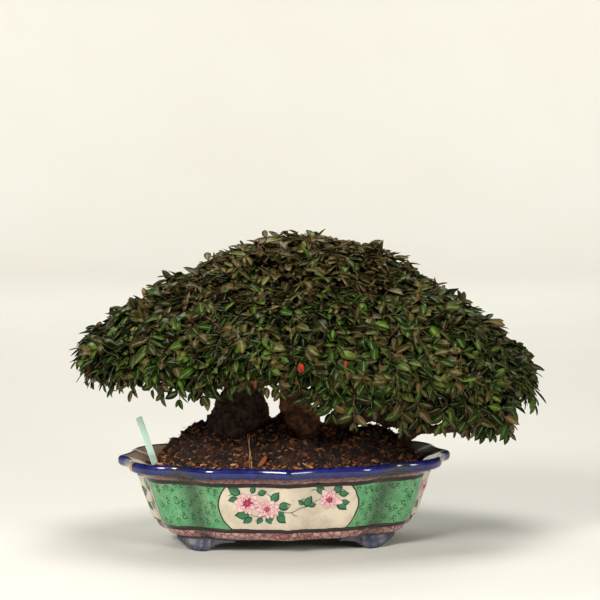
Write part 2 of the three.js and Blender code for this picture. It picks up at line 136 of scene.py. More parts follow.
def smooth_path(points: Sequence[Sequence[float]], steps: int) -> np.ndarray:
    """Runs a Catmull-Rom curve through points.

    Args:
        points: Two points or more, each with the same number of coordinates.
        steps: How many steps the curve takes from one point to the next.

    Returns:
        The curve's points, one a row.
    """
    p = np.asarray(points, float)
    p = np.vstack([2 * p[0] - p[1], p, 2 * p[-1] - p[-2]])
    t = np.linspace(0, 1, steps, endpoint=False)[:, None]
    runs = []
    for a, b, c, d in zip(p, p[1:], p[2:], p[3:]):
        cubic = (3 * b - a - 3 * c + d) * t**3
        runs.append(0.5 * (2 * b + (c - a) * t + (2 * a - 5 * b + 4 * c - d) * t**2 + cubic))
    return np.vstack([*runs, p[-2]])


def seat(place: Vector, axis: Vector, face: Vector, size: float = 1.0) -> Matrix:
    """Gives the matrix that lays a shape's X along axis and turns its Z towards face.

    Args:
        place: Where the shape's origin goes.
        axis: The way its X points.
        face: The way its Z looks, as nearly as the axis allows.
        size: How much the shape is enlarged.

    Returns:
        The matrix.
    """
    along = axis.normalized()
    up = face - face.dot(along) * along
    up = up.normalized() if up.length > 1e-6 else along.orthogonal().normalized()
    matrix = Matrix((along * size, up.cross(along) * size, up * size)).transposed().to_4x4()
    matrix.translation = place
    return matrix


def loft(bm: BMesh, rings: Sequence[np.ndarray], capped: bool = True) -> list[BMVert]:
    """Draws a ring of vertices out through a series of rings.

    Args:
        bm: The mesh to add to. Its vertex layers station and level say where each vertex stands.
        rings: The places of each ring's vertices, all with the same number of them.
        capped: Whether both ends are closed with a face.

    Returns:
        The new vertices.
    """
    layers = bm.verts.layers.int
    station = layers.get("station") or layers.new("station")
    level = layers.get("level") or layers.new("level")
    verts = bmesh.ops.create_circle(bm, segments=len(rings[0]), radius=1.0)["verts"]
    made = list(verts)
    for i, vert in enumerate(verts):
        vert[station] = i
        vert[level] = 0
        vert.co = rings[0][i]
    edges = list({edge for vert in verts for edge in vert.link_edges})
    if capped:
        bmesh.ops.edgeloop_fill(bm, edges=edges)
    for row, ring in enumerate(rings[1:], 1):
        grown = bmesh.ops.extrude_edge_only(bm, edges=edges)["geom"]
        verts = [item for item in grown if isinstance(item, BMVert)]
        for vert in verts:
            vert[level] = row
            vert.co = ring[vert[station]]
        fresh = set(verts)
        edges = [e for e in grown if isinstance(e, BMEdge) and e.verts[0] in fresh and e.verts[1] in fresh]
        made += verts
    if capped:
        bmesh.ops.edgeloop_fill(bm, edges=edges)
    return made


def tube(bm: BMesh, path: np.ndarray, sides: int) -> list[BMVert]:
    """Adds a closed tube along a path.

    Args:
        bm: The mesh to add to.
        path: Rows of x, y, z and radius.
        sides: How many sides it has.

    Returns:
        The new vertices.
    """
    centres = path[:, :3]
    tangents = np.gradient(centres, axis=0)
    tangents /= np.linalg.norm(tangents, axis=1)[:, None]
    normal = np.array(Vector(tangents[0]).orthogonal().normalized())
    turns = np.linspace(0, 2 * math.pi, sides, endpoint=False)
    rings = []
    for centre, tangent, radius in zip(centres, tangents, path[:, 3]):
        normal = normal - normal.dot(tangent) * tangent
        normal /= np.linalg.norm(normal)
        across = np.cross(tangent, normal)
        round_it = np.cos(turns)[:, None] * normal + np.sin(turns)[:, None] * across
        rings.append(centre + radius * round_it)
    return loft(bm, rings)


def copy_of(shape: Mesh, place: Matrix) -> BMesh:
    """Opens a copy of a small shape, set at a place."""
    part = bmesh.new()
    part.from_mesh(shape)
    part.transform(place)
    return part


def merge(bm: BMesh, part: BMesh, material: int | None = None) -> None:
    """Moves a small mesh into a larger one.

    Args:
        bm: The larger mesh. It has the small one's layers already.
        part: The small mesh. It is freed.
        material: The material place of all its faces, where they don't keep their own.
    """
    if material is not None:
        for face in part.faces:
            face.material_index = material
    carrier = as_shape(part, "carrier")
    bm.from_mesh(carrier)
    bpy.data.meshes.remove(carrier)


def as_shape(bm: BMesh, name: str) -> Mesh:
    """Keeps a mesh as a shape that is set down many times."""
    mesh = bpy.data.meshes.new(name)
    bm.to_mesh(mesh)
    bm.free()
    return mesh


def finish_piece(
    bm: BMesh,
    name: str,
    finishes: Sequence["Finish"],
    nodes: Sequence[str] = (),
    smooth: bool = True,
) -> Object:
    """Makes a finished object of a mesh, in the part's frame, and hangs it on the part.

    Args:
        bm: The mesh, in millimetres about the pot's middle. It is freed.
        name: The piece's name.
        finishes: What each of its material places is finished with.
        nodes: The part's own solids that it stands for.
        smooth: Whether its faces are shaded smooth.

    Returns:
        The new object.
    """
    bmesh.ops.transform(bm, matrix=TO_PART, verts=bm.verts)
    for face in bm.faces:
        face.smooth = smooth
    mesh = as_shape(bm, name)
    for finish in finishes:
        mesh.materials.append(finish.material())
    piece = bpy.data.objects.new(name, mesh)
    bpy.context.scene.collection.objects.link(piece)
    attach(piece, "root")
    if nodes:
        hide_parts(*nodes)
    LOG.info("%s: %d faces, stands for %s", name, len(mesh.polygons), ", ".join(nodes) or "itself")
    return piece


# ---- finishes

# What a finish draws: the nodes that give its colour and, where it has one, its relief.
Drawn = tuple[Node, Node | None]


@dataclass(frozen=True)
class Finish:
    """What a surface is made of and how it was made. Each kind draws its own pattern."""

    name: str
    roughness: float = 0.5
    ior: float = 1.5
    coat: float = 0.0
    sheen: str = "#ffffff"

    def draw(self, tree: NodeTree, place: NodeSocket) -> Drawn:
        """Draws the pattern on an object's own coordinates, given by place."""
        raise NotImplementedError

    def material(self) -> Material:
        """Returns the material, which is made the first time that it is asked for."""
        if self.name in bpy.data.materials:
            return bpy.data.materials[self.name]
        material = bpy.data.materials.new(self.name)
        material.use_nodes = True
        tree = material.node_tree
        shader = tree.nodes["Principled BSDF"]
        shader.inputs["Roughness"].default_value = self.roughness
        shader.inputs["IOR"].default_value = self.ior
        shader.inputs["Coat Weight"].default_value = self.coat
        shader.inputs["Coat Roughness"].default_value = 0.06
        shader.inputs["Specular Tint"].default_value = linear(self.sheen)
        colour, relief = self.draw(tree, add(tree, "TexCoord").outputs["Object"])
        tree.links.new(main_output(colour), shader.inputs["Base Color"])
        if relief:
            tree.links.new(main_output(relief), shader.inputs["Normal"])
        return material


@dataclass(frozen=True)
class PaintedPorcelain(Finish):
    """Thrown and glazed porcelain with bands and panels of overglaze enamel, fired glossy.

    To the eye it is a warm cream body under a wet shine, with a deep cobalt lip, stippled green panels and
    lines that waver as a brush does. It reads the piece's own map, in millimetres along the rim and up.
    """

    cream: str = "#d8cab2"
    inner: str = "#a18767"
    stain: str = "#94826c"
    # Painted shade for the valleys beside each corner's lobe.
    valley_shade: str = "#2c2c1c"
    cobalt: str = "#0f1346"
    cobalt_light: str = "#222a72"
    pink: str = "#bc998f"
    pink_dark: str = "#7f5756"
    # The band under the lip: its own purplish pink, darkened as painted shade from the lip.
    mauve_and_lip_shade: str = "#8a585a"
    line: str = "#1c1214"
    border: str = "#2a1a14"
    red_line: str = "#7a3039"
    green: str = "#5da66f"
    green_dark: str = "#2a6a42"
    green_light: str = "#86ac72"
    rim_length: float = 1068.0
    off_centre: float = 2.8

    def draw(self, tree: NodeTree, place: NodeSocket) -> Drawn:
        """Draws the bands by height, the panels by place along the rim, and the fine marks within them."""
        wobble = add(tree, "TexNoise", {"Vector": place, "Scale": per_mm(16), "Detail": 2.0})
        mottle = add(
            tree, "TexNoise", {"Vector": place, "Scale": per_mm(9), "Detail": 5.0, "Roughness": 0.65}
        )
        painted = add(tree, "UVMap", uv_map="glaze")
        split = add(tree, "SeparateXYZ", {0: painted})
        shake = add(tree, "Math", {0: wobble, 1: -0.5}, operation="ADD")
        up = add(tree, "Math", {0: shake, 1: 3.4, 2: split.outputs[1]}, operation="MULTIPLY_ADD")
        # The painter's panels sit a little to the right of the bracket points.
        moved = add(tree, "Math", {0: split.outputs[0], 1: -self.off_centre}, operation="ADD")
        along = add(tree, "Math", {0: shake, 1: 4.0, 2: moved}, operation="MULTIPLY_ADD")
        quarter = self.rim_length / 4
        fold = add(tree, "Math", {0: along, 1: quarter}, operation="PINGPONG")

        # The cream cartouche ends in a bracket like a round parenthesis: it is 8 mm longer at half height.
        middle = add(tree, "Math", {0: up, 1: 1 / 26, 2: -53 / 26}, operation="MULTIPLY_ADD")
        square = add(tree, "Math", {0: middle, 1: middle}, operation="MULTIPLY")
        bulged = add(tree, "Math", {0: square, 1: 13.0, 2: fold}, operation="MULTIPLY_ADD")
        share = add(tree, "Math", {0: bulged, 1: 200.0}, operation="DIVIDE")
        cartouche = add(tree, "ValToRGB", {0: share})
        set_stops(cartouche, [(0, self.cream), (0.491, self.border), (0.503, self.green)], sharp=True)
        end_share = add(tree, "Math", {0: fold, 1: quarter}, operation="DIVIDE")
        ends = add(tree, "ValToRGB", {0: end_share})
        set_stops(ends, [(0, self.green), (0.783, self.border), (0.791, self.cream)], sharp=True)
        is_end = add(tree, "Math", {0: end_share, 1: 0.6}, operation="GREATER_THAN")
        panel = add(tree, "Mix", {0: is_end, 6: cartouche, 7: ends})

        # Stippling darkens the green ground alone. It is drawn 1.9 mm apart, a little coarser than it is.
        green_from = add(tree, "Math", {0: bulged, 1: 100.6}, operation="GREATER_THAN")
        green_to = add(tree, "Math", {0: end_share, 1: 0.783}, operation="LESS_THAN")
        ground = add(tree, "Math", {0: green_from, 1: green_to}, operation="MULTIPLY")
        dots = add(tree, "TexVoronoi", {"Vector": place, "Scale": per_mm(1.9)})
        for share, paint in (
            (add(tree, "MapRange", {0: mottle, 1: 0.5, 2: 0.3, 3: 0.0, 4: 0.8}), self.green_light),
            (add(tree, "MapRange", {0: mottle, 1: 0.5, 2: 0.75, 3: 0.0, 4: 0.7}), self.green_dark),
            (add(tree, "MapRange", {0: dots, 1: 0.15, 2: 0.45, 3: 0.85, 4: 0.0}), self.green_dark),
        ):
            part = add(tree, "Math", {0: ground, 1: share}, operation="MULTIPLY")
            panel = add(tree, "Mix", {0: part, 6: panel, 7: paint})

        # The pink bands carry a crackled-ice line, about 9 mm a crack.
        flat = add(tree, "CombineXYZ", {0: along, 1: up})
        stretched = add(tree, "Mapping", {0: flat, 3: (1 / 10, 1 / 6, 1.0)})
        ice = add(tree, "TexVoronoi", {"Vector": stretched, "Scale": 1.0}, feature="DISTANCE_TO_EDGE")
        crack = add(tree, "MapRange", {0: ice, 1: 0.03, 2: 0.13, 3: 0.95, 4: 0.0})
        wear = add(tree, "MapRange", {0: mottle, 1: 0.4, 2: 0.68})
        pinks = add(tree, "Mix", {0: wear, 6: self.pink, 7: self.pink_dark})
        pinks = add(tree, "Mix", {0: crack, 6: pinks, 7: self.red_line})

        # Painted shade: the band under the lip mixes its own purplish pink with a darker colour for the lip's
        # shadow.
        mauves_in_lip_shade = add(tree, "Mix", {0: 0.5, 6: pinks, 7: self.mauve_and_lip_shade})

        # The cobalt lip is broken by a cream gap at each corner.
        depth = add(tree, "MapRange", {0: mottle, 1: 0.35, 2: 0.7})
        blues = add(tree, "Mix", {0: depth, 6: self.cobalt, 7: self.cobalt_light})
        gap = add(tree, "ValToRGB", {0: end_share})
        black, grey, white = "#000000", "#d2d2d2", "#ffffff"
        set_stops(gap, [(0, black), (0.766, white), (0.868, black)], sharp=True)
        lip = add(tree, "Mix", {0: gap, 6: blues, 7: self.inner})
        ends_of_gap = add(tree, "ValToRGB", {0: end_share})
        stops = [(0, black), (0.758, white), (0.772, black), (0.862, white), (0.876, black)]
        set_stops(ends_of_gap, stops, sharp=True)
        lip = add(tree, "Mix", {0: ends_of_gap, 6: lip, 7: self.line})

        # Bands upwards: foot line, pink, black line, panel, black line, the band under the lip darkened with
        # painted shade, lip, dark edge, cream inside.
        colour = add(tree, "RGB")
        colour.outputs[0].default_value = linear(self.line)
        bands = [
            (12.0, pinks),
            (21.3, self.line),
            (26.6, panel),
            (79.2, self.line),
            (84.4, mauves_in_lip_shade),
            (90.4, self.line),
            (91.6, lip),
            (107.2, self.line),
            (109.2, self.inner),
        ]
        for height, paint in bands:
            above = add(tree, "Math", {0: up, 1: height}, operation="GREATER_THAN")
            colour = add(tree, "Mix", {0: above, 6: colour, 7: paint})

        # Stains in the glaze: a brown tea-like bloom over everything, strongest on the cream.
        bloom = add(tree, "TexNoise", {"Vector": place, "Scale": per_mm(38), "Detail": 6.0, "Roughness": 0.7})
        soiled = add(tree, "MapRange", {0: bloom, 1: 0.46, 2: 0.78, 3: 0.0, 4: 1.3})
        pale = add(tree, "RGBToBW", {0: colour})
        soiled = add(tree, "Math", {0: soiled, 1: pale}, operation="MULTIPLY")
        colour = add(tree, "Mix", {0: soiled, 6: colour, 7: self.stain})
        # Painted shade: the colour is darkened in the two valleys beside each corner's lobe, where shade
        # falls.
        valleys = add(tree, "ValToRGB", {0: end_share})
        stops = [(0.43, black), (0.51, grey), (0.545, grey), (0.62, black)]
        stops += [(0.8, black), (0.86, grey), (0.92, black)]
        set_stops(valleys, stops)
        valley_shaded = add(tree, "Mix", {0: valleys, 6: colour, 7: self.valley_shade})
        ripple = add(tree, "TexNoise", {"Vector": place, "Scale": per_mm(22), "Detail": 1.0})
        bump = add(tree, "Bump", {"Height": ripple, "Strength": 0.25, "Distance": 0.0008})
        return valley_shaded, bump


@dataclass(frozen=True)
class LavenderGlaze(Finish):
    """Porcelain foot in a thin blue glaze: lavender grey, streaked darker and deep blue on the toe."""

    blue: str = "#232646"
    pale: str = "#4b484f"

    def draw(self, tree: NodeTree, place: NodeSocket) -> Drawn:
        """Draws streaks that run down the foot, about 4 mm across."""
        streaked = add(tree, "Mapping", {0: place, 3: (1.0, 1.0, 0.3)})
        streak = add(tree, "TexNoise", {"Vector": streaked, "Scale": per_mm(5), "Detail": 4.0})
        share = add(tree, "MapRange", {0: streak, 1: 0.22, 2: 0.5})
        rib = add(tree, "Attribute", attribute_name="rib")
        bare = add(tree, "Math", {0: 1.0, 1: rib.outputs["Fac"]}, operation="SUBTRACT")
        share = add(tree, "Math", {0: share, 1: bare}, operation="MULTIPLY")
        tint = add(tree, "Mix", {0: share, 6: self.blue, 7: self.pale})
        bump = add(tree, "Bump", {"Height": streak, "Strength": 0.3, "Distance": 0.0006})
        return tint, bump


@dataclass(frozen=True)
class OverglazeEnamel(Finish):
    """Brushed overglaze enamel, slightly raised and glassy, in the brush's own colours."""

    def draw(self, tree: NodeTree, place: NodeSocket) -> Drawn:
        """Takes each stroke's colour and thins it where the brush ran dry."""
        paint = add(tree, "Attribute", attribute_name="enamel")
        thin = add(tree, "TexNoise", {"Vector": place, "Scale": per_mm(2.5), "Detail": 3.0})
        light = add(tree, "MapRange", {0: thin, 1: 0.3, 2: 0.75, 3: 0.78, 4: 1.25})
        tint = add(tree, "HueSaturation", {"Value": light, "Color": paint.outputs["Color"]})
        return tint, None


@dataclass(frozen=True)
class PottingMix(Finish):
    """Moist, crumbly potting mix: near-black brown peat with paler fibres, and no shine but on wet grains."""

    dark: str = "#0d0704"
    brown: str = "#53301b"
    fibre: str = "#bd7b48"

    def draw(self, tree: NodeTree, place: NodeSocket) -> Drawn:
        """Draws clods 9 mm across, grains 1.5 mm across and stray fibres."""
        clods = add(tree, "TexNoise", {"Vector": place, "Scale": per_mm(9), "Detail": 6.0, "Roughness": 0.7})
        share = add(tree, "MapRange", {0: clods, 1: 0.45, 2: 0.68})
        # Higher up, towards the trunks, the mix is darker.
        split = add(tree, "SeparateXYZ", {0: place})
        height_tone = add(tree, "MapRange", {0: split.outputs[2], 1: 0.115, 2: 0.145, 3: 1.0, 4: 0.5})
        share = add(tree, "Math", {0: share, 1: height_tone}, operation="MULTIPLY")
        tint = add(tree, "Mix", {0: share, 6: self.dark, 7: self.brown})
        grains = add(tree, "TexVoronoi", {"Vector": place, "Scale": per_mm(1.5)})
        strands = add(
            tree, "TexNoise", {"Vector": place, "Scale": per_mm(3), "Detail": 4.0, "Distortion": 2.5}
        )
        stray = add(tree, "MapRange", {0: strands, 1: 0.62, 2: 0.72, 3: 0.0, 4: 0.7})
        tint = add(tree, "Mix", {0: stray, 6: tint, 7: self.fibre})
        grit = add(tree, "Attribute", attribute_name="grit")
        tint = add(tree, "Mix", {0: grit.outputs["Fac"], 6: tint, 7: self.fibre})
        bump = add(tree, "Bump", {"Height": grains.outputs["Distance"], "Strength": 0.9, "Distance": 0.002})
        return tint, bump


@dataclass(frozen=True)
class ConiferBark(Finish):
    """Chipped conifer bark and slivers, torn along the grain: orange brown, matt and fibrous."""

    dark: str = "#3b1d0e"
    orange: str = "#aa5c2a"
    pale: str = "#c99a68"

    def draw(self, tree: NodeTree, place: NodeSocket) -> Drawn:
        """Takes each chip's own shade and lays a 0.8 mm grain over it."""
        shade = add(tree, "Attribute", attribute_name="grit")
        grain = add(tree, "TexNoise", {"Vector": place, "Scale": per_mm(0.9), "Detail": 4.0})
        mixed = add(tree, "Math", {0: grain, 1: 0.35, 2: shade.outputs["Fac"]}, operation="MULTIPLY_ADD")
        ramp = add(tree, "ValToRGB", {0: mixed})
        set_stops(ramp, [(0.1, self.dark), (0.75, self.orange), (1.0, self.pale)])
        bump = add(tree, "Bump", {"Height": grain, "Strength": 0.5, "Distance": 0.0005})
        return ramp, bump


@dataclass(frozen=True)
class JasmineBark(Finish):
    """Old jasmine wood with its rough living bark: very dark brown, in places rubbed to a red brown."""

    dark: str = "#0c0705"
    brown: str = "#563524"
    red: str = "#aa6e4c"

    def draw(self, tree: NodeTree, place: NodeSocket) -> Drawn:
        """Draws upright fissures 4 mm apart, plates within them, and the redder wood of the middle trunk."""
        upright = add(tree, "Mapping", {0: place, 3: (1.0, 1.0, 0.35)})
        fissure = add(
            tree, "TexNoise", {"Vector": upright, "Scale": per_mm(4.5), "Detail": 7.0, "Roughness": 0.7}
        )
        share = add(tree, "MapRange", {0: fissure, 1: 0.43, 2: 0.66})
        tint = add(tree, "Mix", {0: share, 6: self.dark, 7: self.brown})
        split = add(tree, "SeparateXYZ", {0: place})
        to_right = add(tree, "MapRange", {0: split.outputs[0], 1: -0.045, 2: -0.02})
        patches = add(tree, "TexNoise", {"Vector": place, "Scale": per_mm(14), "Detail": 3.0})
        rubbed = add(tree, "MapRange", {0: patches, 1: 0.42, 2: 0.62, 3: 0.15, 4: 0.9})
        reddened = add(tree, "Math", {0: to_right, 1: rubbed}, operation="MULTIPLY")
        to_limb = add(tree, "MapRange", {0: split.outputs[0], 1: 0.03, 2: 0.05, 3: 1.0, 4: 0.15})
        reddened = add(tree, "Math", {0: reddened, 1: to_limb}, operation="MULTIPLY")
        tint = add(tree, "Mix", {0: reddened, 6: tint, 7: self.red})
        # Wrinkles run round the redder wood, 2.5 mm apart.
        level = add(tree, "Mapping", {0: place, 3: (0.3, 0.3, 1.0)})
        wrinkle = add(tree, "TexNoise", {"Vector": level, "Scale": per_mm(2.5), "Detail": 3.0})
        ring = add(tree, "Math", {0: wrinkle, 1: to_right}, operation="MULTIPLY")
        relief = add(tree, "Math", {0: ring, 1: fissure}, operation="ADD")
        bump = add(tree, "Bump", {"Height": relief, "Strength": 1.0, "Distance": 0.0025})
        return tint, bump


@dataclass(frozen=True)
class ShootBark(Finish):
    """The thin skin of young jasmine shoots: smooth red brown with paler lenticels."""

    brown: str = "#4d2a1c"
    pale: str = "#8b5a3c"

    def draw(self, tree: NodeTree, place: NodeSocket) -> Drawn:
        """Draws lenticels about 2 mm apart."""
        spots = add(tree, "TexNoise", {"Vector": place, "Scale": per_mm(2.2), "Detail": 2.0})
        share = add(tree, "MapRange", {0: spots, 1: 0.5, 2: 0.72})
        tint = add(tree, "Mix", {0: share, 6: self.brown, 7: self.pale})
        return tint, None


@dataclass(frozen=True)
class WaxyLeaf(Finish):
    """The face of a jasmine leaf: dark waxy green with a pale midrib, side veins and a soft yellowish gloss.

    Each leaf's own numbers say how light it is, darkened with painted shade inside and under the dome, how
    new, how bronzed in sunlight with a painted sheen on the dome's top, and whether it has turned red.
    """

    sheen: str = "#c9c78c"
    dark: str = "#040902"
    green: str = "#2c4810"
    fresh: str = "#587624"
    # Bronzing in sunlight, lightened into a painted sheen on the dome's top.
    bronze_and_sheen: str = "#745a38"
    turned: str = "#a3231c"
    rib: str = "#8c9a62"
    rib_share: float = 0.42

    def draw(self, tree: NodeTree, place: NodeSocket) -> Drawn:
        """Tints the blade by its own numbers and draws its veins on its own map."""
        own = add(tree, "Attribute", attribute_name="leaf")
        numbers = add(tree, "SeparateColor", {0: own.outputs["Color"]})
        # Painted shade: the first number, each leaf's own tone, is darkened towards near black for leaves
        # inside and under the dome.
        tint = add(tree, "Mix", {0: numbers.outputs[0], 6: self.dark, 7: self.green})
        for share, colour in (
            (numbers.outputs[1], self.fresh),
            (numbers.outputs[2], self.bronze_and_sheen),
            (own.outputs["Alpha"], self.turned),
        ):
            tint = add(tree, "Mix", {0: share, 6: tint, 7: colour})
        drawn = add(tree, "UVMap", uv_map="blade")
        split = add(tree, "SeparateXYZ", {0: drawn})
        middle = add(tree, "Math", {0: split.outputs[1], 1: 0.5}, operation="SUBTRACT")
        aside = add(tree, "Math", {0: middle}, operation="ABSOLUTE")
        rib = add(tree, "MapRange", {0: aside, 1: 0.02, 2: 0.06, 3: 1.0, 4: 0.0})
        # Side veins leave the midrib forwards, seven to a side.
        swept = add(tree, "Math", {0: aside, 1: -0.55, 2: split.outputs[0]}, operation="MULTIPLY_ADD")
        veins = add(tree, "Math", {0: swept, 1: 1 / 14}, operation="PINGPONG")
        vein = add(tree, "MapRange", {0: veins, 1: 0.0, 2: 0.012, 3: 0.35, 4: 0.0})
        margin = add(tree, "MapRange", {0: aside, 1: 0.44, 2: 0.5, 3: 0.0, 4: 0.4})
        lines = add(tree, "Math", {0: rib, 1: vein}, operation="MAXIMUM")
        lines = add(tree, "Math", {0: lines, 1: margin}, operation="MAXIMUM")
        faint = add(tree, "Math", {0: lines, 1: self.rib_share}, operation="MULTIPLY")
        tint = add(tree, "Mix", {0: faint, 6: tint, 7: self.rib})
        blotch = add(tree, "TexNoise", {"Vector": place, "Scale": per_mm(6), "Detail": 3.0})
        light = add(tree, "MapRange", {0: blotch, 1: 0.3, 2: 0.7, 3: 0.75, 4: 1.25})
        tint = add(tree, "HueSaturation", {"Value": light, "Color": tint})
        bump = add(tree, "Bump", {"Height": lines, "Strength": 0.4, "Distance": 0.0004})
        return tint, bump


@dataclass(frozen=True)
class SatinPlastic(Finish):
    """Injection-moulded polypropylene: even, satin, faintly scuffed, with a little soil near the ground."""

    colour: str = "#dcfbe4"
    scuffed: str = "#c6efd2"
    soiled: str = "#4a3526"
    soil_height: float = 0.118

    def draw(self, tree: NodeTree, place: NodeSocket) -> Drawn:
        """Draws scuffs 6 mm long and a soiled foot."""
        scuffs = add(
            tree, "TexNoise", {"Vector": place, "Scale": per_mm(6), "Detail": 6.0, "Roughness": 0.75}
        )
        share = add(tree, "MapRange", {0: scuffs, 1: 0.5, 2: 0.75})
        tint = add(tree, "Mix", {0: share, 6: self.colour, 7: self.scuffed})
        split = add(tree, "SeparateXYZ", {0: place})
        foot = self.soil_height
        low = add(tree, "MapRange", {0: split.outputs[2], 1: foot, 2: foot - 0.01, 3: 0.0, 4: 0.8})
        dirt = add(tree, "Math", {0: low, 1: scuffs}, operation="MULTIPLY")
        tint = add(tree, "Mix", {0: dirt, 6: tint, 7: self.soiled})
        return tint, None


@dataclass(frozen=True)
class StudioPaper(Finish):
    """Seamless background paper: pale, matt and very slightly uneven."""

    colour: str = "#dddad0"
    shade: str = "#d8d4c8"

    def draw(self, tree: NodeTree, place: NodeSocket) -> Drawn:
        """Draws a faint unevenness, 400 mm across."""
        cloud = add(tree, "TexNoise", {"Vector": place, "Scale": per_mm(400), "Detail": 2.0})
        tint = add(tree, "Mix", {0: cloud, 6: self.colour, 7: self.shade})
        return tint, None


PORCELAIN = PaintedPorcelain("painted_porcelain", roughness=0.17, coat=0.22)
FOOT_GLAZE = LavenderGlaze("lavender_glaze", roughness=0.5, coat=0.05)
ENAMEL = OverglazeEnamel("overglaze_enamel", roughness=0.22, coat=0.4)
MIX = PottingMix("moist_potting_mix", roughness=0.92)
CHIP = ConiferBark("conifer_bark_chips", roughness=0.8)
BARK = JasmineBark("old_jasmine_bark", roughness=0.85)
SHOOT = ShootBark("young_shoot_skin", roughness=0.55)
LEAF = WaxyLeaf("waxy_leaf_face", roughness=0.25, ior=1.34)
LEAF_BACK = WaxyLeaf(
    "matt_leaf_back", roughness=0.6, ior=1.3, dark="#080d05", green="#334524", rib="#6c7950", rib_share=0.5
)
# Painted shade: the leaves inside the dome are a darker green and dull, so the gaps between the outer ones
# stay dark.
SHADED_INNER_LEAF = WaxyLeaf("dull_leaf_in_painted_shade", roughness=0.8, ior=1.12, green="#1f2d0b", rib_share=0.3)
LABEL_PLASTIC = SatinPlastic("mint_polypropylene", roughness=0.42)
SCREEN_PLASTIC = SatinPlastic(
    "black_polyethylene",
    roughness=0.55,
    colour="#161616",
    scuffed="#242424",
    soiled="#2a1c14",
    soil_height=0.03,
)
PAPER = StudioPaper("seamless_paper", roughness=0.9)


# ---- the pot


@dataclass
class LobedOutline:
    """The pot's rim seen from above: a bracket point in the middle of each side and a lobe at each corner.

    A place along it is a length in millimetres from the front point, anticlockwise, at the rim's own size.
    """

    half_length: float = 204.0
    half_depth: float = 132.0
    stations: int = 480
    quarter: tuple[tuple[float, float], ...] = (
        (0, -132), (30, -122), (62, -117.5), (92, -114), (114, -102), (130, -89), (152, -84), (174, -72),
        (187, -53), (190, -34), (195, -15), (204, 0),
    )
    unit: np.ndarray = field(init=False)
    length: float = field(init=False)

    def __post_init__(self) -> None:
        """Draws one quarter as a smooth curve, mirrors it and spaces the stations evenly."""
        curve = smooth_path(self.quarter, 24)
        ring = np.vstack(
            [
                curve[:-1],
                curve[::-1][:-1] * (1, -1),
                curve[:-1] * (-1, -1),
                curve[::-1] * (-1, 1),
            ]
        )
        reach = np.concatenate([[0], np.cumsum(np.linalg.norm(np.diff(ring, axis=0), axis=1))])
        self.length = float(reach[-1])
        places = np.linspace(0, self.length, self.stations, endpoint=False)
        even = np.column_stack([np.interp(places, reach, ring[:, i]) for i in (0, 1)])
        for _ in range(2):
            even = 0.5 * even + 0.25 * (np.roll(even, 1, axis=0) + np.roll(even, -1, axis=0))
        self.unit = even / (self.half_length, self.half_depth)

    def ring(self, inset_x: float, inset_y: float, z: float) -> np.ndarray:
        """Gives the outline drawn in at its ends and sides, at a height."""
        plan = self.unit * (self.half_length - inset_x, self.half_depth - inset_y)
        return np.column_stack([plan, np.full(len(plan), z)])

    def at(self, along: float, inset_x: float, inset_y: float, z: float) -> Vector:
        """Gives the point of the drawn-in outline at a length along the rim.

        Args:
            along: The length from the front point, anticlockwise.
            inset_x: How far it is drawn in at its ends.
            inset_y: How far it is drawn in at its sides.
            z: The height.

        Returns:
            The point.
        """
        spot = (along / self.length) % 1.0 * self.stations
        first = int(spot)
        share = spot - first
        x, y = (1 - share) * self.unit[first % self.stations] + share * self.unit[(first + 1) % self.stations]
        return Vector((x * (self.half_length - inset_x), y * (self.half_depth - inset_y), z))


